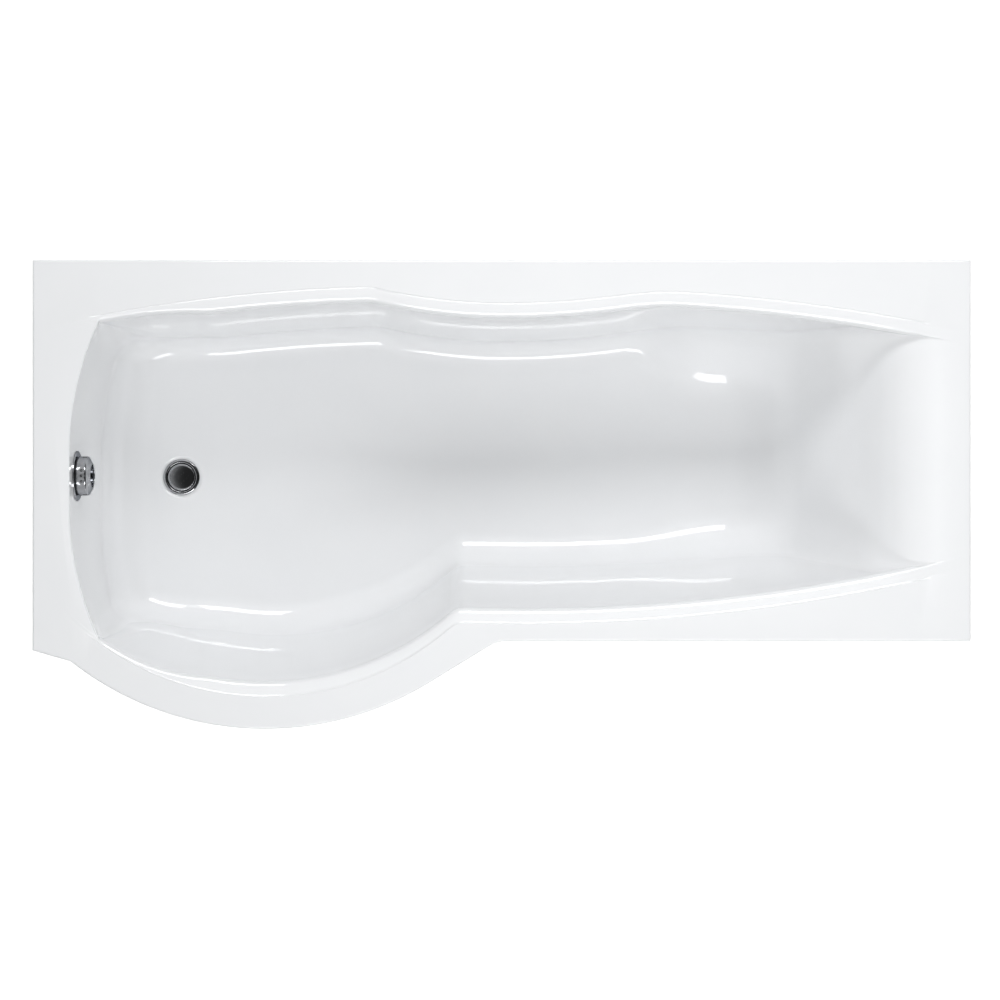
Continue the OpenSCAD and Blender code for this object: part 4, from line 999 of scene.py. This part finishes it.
brass = Finish("turned_brass", (0.72, 0.53, 0.27), 0.25, metal=1.0)
brass.set("Roughness", brass.noise(500.0, 3.0, (1, 1, 6)) * 0.2 + 0.18)
brass.set("Base Color", brass.mix(brass.noise(80.0, 3.0), (0.62, 0.44, 0.20), (0.76, 0.58, 0.32)))

timber = Finish("sawn_softwood", (0.62, 0.44, 0.26), 0.7)


def grain(finish, along):
    """Stretched rings and fine fibres along one axis of a timber strip."""
    stretch = (0.05, 1, 1) if along == "X" else (1, 0.05, 1)
    rings = finish.noise(45.0, 4.0, stretch)
    fibres = finish.noise(420.0, 3.0, stretch)
    finish.set("Base Color", finish.mix((rings * 0.75 + fibres * 0.35).between(0.3, 0.8),
                                        (0.70, 0.50, 0.29), (0.46, 0.28, 0.13)))
    finish.set("Roughness", fibres * 0.3 + 0.55)
    finish.bump(fibres + rings * 0.5, 0.0004, 0.7)


grain(timber, "X")
cross_timber = Finish("sawn_softwood_across", (0.62, 0.44, 0.26), 0.7)
grain(cross_timber, "Y")

chip = Finish("resin_sealed_chipboard", (0.5, 0.38, 0.25), 0.6)
flakes = chip.cells(230.0, "Color", (1, 1.6, 1))
chip.set("Base Color", chip.mix(flakes, (0.42, 0.30, 0.18), (0.72, 0.58, 0.40)))
chip.set("Roughness", chip.noise(12.0, 3.0).between(0.35, 0.6) * 0.35 + 0.35)
chip.bump(chip.cells(230.0), 0.0006, 0.6)


CARRIED = {
    "base_board": chip, "back_batten": timber, "front_batten": timber,
    "tap_batten": cross_timber, "head_batten": cross_timber,
    "cradle_tap": spangled, "cradle_head": spangled, "centre_plate": spangled,
    "wall_bracket_left": spangled, "wall_bracket_right": spangled,
    "flange_gasket": rubber, "body_washer": rubber, "plug_seal": rubber, "overflow_washer": rubber,
    "waste_body": white_plastic, "overflow_body": white_plastic,
    "lift_lever": grey_plastic,
    "plug_stem": brass, "knob_spindle": brass, "lever_pin": plated, "cable_ferrules": black_plastic,
}
for name, finish in CARRIED.items():
    mesh = nodes[name].data
    mesh.materials.clear()
    mesh.materials.append(finish.material)
print("finished:", len(CARRIED), "carried pieces")

# %% [markdown]
# The overflow's hose and the control's cable run straight down, round a quarter bend
# and along to the waste. Each is swept as rings of points along that path, which keeps
# its length and its bend exact.

# %% Paths and sweeps
def pipe_run(low, high, radius, bend):
    """The path's length, and a function from a distance along it to a place and a turn."""
    x, y, z = low.x + radius, (low.y + high.y) / 2, low.z + radius
    down, arc = high.z - z - bend, bend * math.pi / 2

    def place(s):
        if s < down:
            return Vector((x, y, high.z - s)), 0.0
        if s < down + arc:
            turn = (s - down) / bend
            return Vector((x + bend * (1 - math.cos(turn)), y, z + bend * (1 - math.sin(turn)))), turn
        return Vector((x + bend + s - down - arc, y, z)), math.pi / 2

    return down + arc + high.x - x - bend, place


def hoop(where, radius, sides):
    """A ring of points round the path, square to it."""
    centre, turn = where
    points = []
    for i in range(sides):
        t = 2 * math.pi * i / sides
        u = radius * math.cos(t)
        points.append(centre + Vector((-u * math.cos(turn), radius * math.sin(t), -u * math.sin(turn))))
    return points


def ring_faces(count, n, joined, start=0):
    """Faces between rows of n points each; joined rows close round to the first one."""
    made = []
    for k in range(count if joined else count - 1):
        a, b = start + k * n, start + ((k + 1) % count) * n
        made += [(a + i, a + (i + 1) % n, b + (i + 1) % n, b + i) for i in range(n)]
    if not joined:
        last = start + (count - 1) * n
        made += [tuple(range(start + n - 1, start - 1, -1)), tuple(range(last, last + n))]
    return made


def swept(name, rows, finish, joined):
    """A piece through rows of points; joined rows are a pipe with a bore."""
    points = [p for row in rows for p in row]
    return mesh_object(name, points, ring_faces(len(rows), len(rows[0]), joined), finish)


# %% [markdown]
# The hose has plain cuffs and, between them, rings that swell and shrink to give its
# ribs. Its rows come back through the bore, so it is hollow. The cable's sheath is a
# plain round run beside it.

# %% Hose and cable
HOSE_BEND, HOSE_WALL, HOSE_SIDES, BORE_ROWS = 0.095, 0.004, 28, 40
RIB_PITCH, RIB_DEEP, RIB_ROWS = 0.0046, 0.0022, 6
hose_low, hose_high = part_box("overflow_hose")
hose_r = (hose_high.y - hose_low.y) / 2
hose_length, hose_place = pipe_run(hose_low, hose_high, hose_r, HOSE_BEND)
HOSE_BORE, CUFF = hose_r - HOSE_WALL, 2 * hose_r
rib_count = round((hose_length - 2 * CUFF) / RIB_PITCH)
rows = [hoop(hose_place(0), hose_r, HOSE_SIDES)]
for i in range(rib_count * RIB_ROWS + 1):
    s = CUFF + (hose_length - 2 * CUFF) * i / (rib_count * RIB_ROWS)
    dip = RIB_DEEP * (0.5 - 0.5 * math.cos(2 * math.pi * i / RIB_ROWS)) ** 0.8
    rows.append(hoop(hose_place(s), hose_r - dip, HOSE_SIDES))
rows.append(hoop(hose_place(hose_length), hose_r, HOSE_SIDES))
for i in range(BORE_ROWS, -1, -1):
    rows.append(hoop(hose_place(hose_length * i / BORE_ROWS), HOSE_BORE, HOSE_SIDES))
settle(swept("overflow_hose_ribbed", rows, hose_plastic, True), "root", "overflow_hose", 50)

CABLE_BEND, CABLE_ROWS, CABLE_SIDES = 0.100, 60, 20
cable_low, cable_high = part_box("cable_sheath")
cable_r = (cable_high.y - cable_low.y) / 2
cable_length, cable_place = pipe_run(cable_low, cable_high, cable_r, CABLE_BEND)
rows = [hoop(cable_place(cable_length * i / CABLE_ROWS), cable_r, CABLE_SIDES)
        for i in range(CABLE_ROWS + 1)]
settle(swept("cable_sheath_coated", rows, black_plastic, False), "root", "cable_sheath", 50)
print("hose ribs:", rib_count, "hose length:", round(hose_length, 3), "cable length:", round(cable_length, 3))

# %% [markdown]
# Hand-tightened nuts carry grip flutes. They are turned shapes whose radius also
# depends on the angle, so the turning helper makes them with one more function.

# %% Grip nuts
NUT_EDGE, FLUTE_DEEP, HOSE_FLUTES, RING_FLUTES = 0.0016, 0.0013, 16, 20


def fluted(outer, flutes, low, high):
    """A radius that dips into flutes between two heights, on the outside only."""
    def waver(r, z, turn):
        wave = 0.5 + 0.5 * math.cos(flutes * turn)
        return r - FLUTE_DEEP * wave ** 3 if r == outer and low < z < high else r
    return waver


def grip_nut(node_name, frame_of, outer, bore, length, flutes, finish):
    """A ring nut from height 0 to its length, with flutes between its two plain rims."""
    rim, start = 1.6 * NUT_EDGE, 1.86 * NUT_EDGE
    rows = [(bore, 0), (outer - NUT_EDGE, 0), (outer, NUT_EDGE), (outer, rim), (outer, start),
            (outer, length - start), (outer, length - rim), (outer, length - NUT_EDGE),
            (outer - NUT_EDGE, length), (bore, length), (bore, 0)]
    waver = fluted(outer, flutes, (rim + start) / 2, length - (rim + start) / 2)
    nut = spun(f"{node_name}_fluted", rows, frame_of, finish, flutes * 8, waver=waver)
    settle(nut, "root", node_name, 40)


top_low, top_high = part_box("hose_nut_top")
nut_r, nut_l = (top_high.x - top_low.x) / 2, top_high.z - top_low.z
top_middle, side_middle = middle("hose_nut_top"), middle("hose_nut_low")
side_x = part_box("hose_nut_low")[0].x
upright = Matrix.Translation((top_middle.x, top_middle.y, top_low.z))
sideways = Matrix.Translation((side_x, side_middle.y, side_middle.z)) @ Matrix.Rotation(math.pi / 2, 4, "Y")
for name, frame_of in (("hose_nut_top", upright), ("hose_nut_low", sideways)):
    grip_nut(name, frame_of, nut_r, hose_r + 0.0003, nut_l, HOSE_FLUTES, grey_plastic)
ring_low, ring_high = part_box("overflow_nut")
WASHER_ROOM, RING_H = 0.0026, 0.006
ring_frame = overflow_frame @ Matrix.Translation((0, 0, -SHELL_T - WASHER_ROOM - RING_H))
grip_nut("overflow_nut", ring_frame, (ring_high.y - ring_low.y) / 2, NECK_R + 0.0001, RING_H,
         RING_FLUTES, white_plastic)

print("grip nut radius:", round(nut_r, 4))

# %% [markdown]
# The leg nuts are hexagons with their corners chamfered by a cone: each ring of points
# is the hexagon, kept within the cone's radius at its height. They stand where the
# construction model's nuts stand, and are joined into one piece.

# %% Leg nuts
NUT_SIDES, NUT_AF, NUT_H, STUD_BORE = 48, 0.016, 0.008, 0.0051


def hexagon(turn):
    """Radius of a hexagon with the nut's width across its flats."""
    return NUT_AF / 2 / math.cos((turn + math.pi / 6) % (math.pi / 3) - math.pi / 6)


def hex_rows(place, bore):
    """Rings of one nut: inside, then out over the lower chamfer, up, and back in."""
    def ring_of(z, limit):
        turns = [2 * math.pi * i / NUT_SIDES for i in range(NUT_SIDES)]
        radii = [min(hexagon(t), limit) for t in turns]
        return [Vector(place) + Vector((r * math.cos(t), r * math.sin(t), z)) for r, t in zip(radii, turns)]

    corner = NUT_AF / 2 / math.cos(math.pi / 6)
    chamfers = [(0.0, NUT_AF * 0.475), (0.0005, NUT_AF * 0.53), (0.0010, corner)]
    rows = [ring_of(0, bore)] + [ring_of(z, limit) for z, limit in chamfers]
    return rows + [ring_of(NUT_H - z, limit) for z, limit in reversed(chamfers)] + [ring_of(NUT_H, bore)]


def solids_of(name):
    """Boxes (low, high) of the separate solids of a construction node."""
    shape = bmesh.new()
    shape.from_mesh(nodes[name].data)
    shape.transform(nodes[name].matrix_world)
    bmesh.ops.remove_doubles(shape, verts=shape.verts, dist=1e-6)
    left, boxes = dict.fromkeys(shape.verts), []
    while left:
        group = [next(iter(left))]
        del left[group[0]]
        for vert in group:
            for edge in vert.link_edges:
                other = edge.other_vert(vert)
                if other in left:
                    del left[other]
                    group.append(other)
        places = np.array([v.co for v in group])
        boxes.append((Vector(places.min(axis=0)), Vector(places.max(axis=0))))
    shape.free()
    return boxes


leg_nuts = solids_of("leg_nuts")
points, face_list = [], []
for low, high in leg_nuts:
    rows = hex_rows(((low.x + high.x) / 2, (low.y + high.y) / 2, low.z), STUD_BORE)
    face_list += ring_faces(len(rows), NUT_SIDES, True, len(points))
    points += [p for row in rows for p in row]
settle(mesh_object("leg_nuts_hexagon", points, face_list, plated), "root", "leg_nuts", 25)
print("leg nuts:", len(leg_nuts))

# %% [markdown]
# The screws have pan heads with a cross recess. One is turned and cut, and copies of
# its mesh are joined into one piece for each group of screws.

# %% Screws
HEAD_R, HEAD_H, SHANK_R, SCREW_L = 0.0045, 0.0024, 0.0022, 0.016
RECESS_L, RECESS_W, RECESS_DEEP = 0.0052, 0.0010, 0.0012
template = spun("screw", rounded([
    (0, -HEAD_H, 0), (HEAD_R * 0.6, -HEAD_H, 0.0010), (HEAD_R, -HEAD_H * 0.4, 0.0012), (HEAD_R, 0, 0.0002),
    (SHANK_R, 0, 0.0002), (SHANK_R, SCREW_L - 2 * SHANK_R, 0.0008), (0, SCREW_L, 0)]),
    Matrix.Identity(4), plated, 32, ring_closed=False)
recesses = []
for turn in (0, math.pi / 2):
    shape = bmesh.new()
    bmesh.ops.create_cube(shape, size=1, matrix=Matrix.Diagonal((RECESS_L, RECESS_W, 2 * RECESS_DEEP, 1)))
    shape.transform(Matrix.Translation((0, 0, -HEAD_H)) @ Matrix.Rotation(turn, 4, "Z"))
    recesses.append(tool_of(shape))
cut(template, recesses)
screw_points = [v.co.copy() for v in template.data.vertices]
screw_faces = [tuple(f.vertices) for f in template.data.polygons]
bpy.data.objects.remove(template)
for name in ("cradle_screws", "bracket_screws"):
    points, face_list = [], []
    for low, high in solids_of(name):
        seat_at = Vector(((low.x + high.x) / 2, (low.y + high.y) / 2, low.z + HEAD_H))
        face_list += [tuple(i + len(points) for i in face) for face in screw_faces]
        points += [p + seat_at for p in screw_points]
    settle(mesh_object(f"{name}_panhead", points, face_list, plated), "root", name)
print("screw faces:", len(screw_faces))

# %% [markdown]
# Each foot is a threaded stud in a moulded pad. The thread is a true helix: a tube of
# rings whose radius rises and falls once per turn of the angle and once per pitch.

# %% Threads
THREAD_SIDES, ROWS_PER_TURN, THREAD_DEEP, STUD_PITCH = 24, 6, 0.55, 0.0015


def threaded_rod(name, place, radius, low, high):
    """A rod from low to high whose thread runs out at both ends."""
    count = max(2, math.ceil((high - low) / STUD_PITCH * ROWS_PER_TURN))
    rows = []
    for k in range(count + 1):
        z = low + (high - low) * k / count
        fade = min(1.0, min(z - low, high - z) / STUD_PITCH)
        row = []
        for i in range(THREAD_SIDES):
            phase = (z / STUD_PITCH - i / THREAD_SIDES) % 1.0
            r = radius - THREAD_DEEP * STUD_PITCH * (1 - abs(2 * phase - 1)) * fade
            turn = 2 * math.pi * i / THREAD_SIDES
            row.append(Vector((r * math.cos(turn), r * math.sin(turn), z)) + place)
        rows.append(row)
    return swept(name, rows, plated, False)


FEET, PAD_NECK, PAD_FLOOR = 5, 0.010, 0.0059
for i in range(1, FEET + 1):
    low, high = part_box(f"stud_{i}")
    centre = (low + high) / 2
    place = Vector((centre.x, centre.y, 0))
    stud = threaded_rod(f"stud_{i}_threaded", place, (high.x - low.x) / 2, low.z, high.z)
    settle(stud, f"foot_{i}", f"stud_{i}", 80)
    pad_low, pad_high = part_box(f"pad_{i}")
    r, top = (pad_high.x - pad_low.x) / 2, pad_high.z
    pad = spun(f"pad_{i}_moulded", rounded([
        (0, 0, 0), (r - 0.002, 0, 0.001), (r, 0.002, 0.001), (r, 0.0055, 0.002),
        (PAD_NECK + 0.004, 0.010, 0.004), (PAD_NECK, 0.0125, 0.003), (PAD_NECK, top, 0.001),
        (STUD_BORE, top, 0.0004), (STUD_BORE, PAD_FLOOR, 0), (0, PAD_FLOOR, 0)]),
        Matrix.Translation(place), black_plastic, 64, ring_closed=False)
    settle(pad, f"foot_{i}", f"pad_{i}", 50)
print("feet:", FEET)
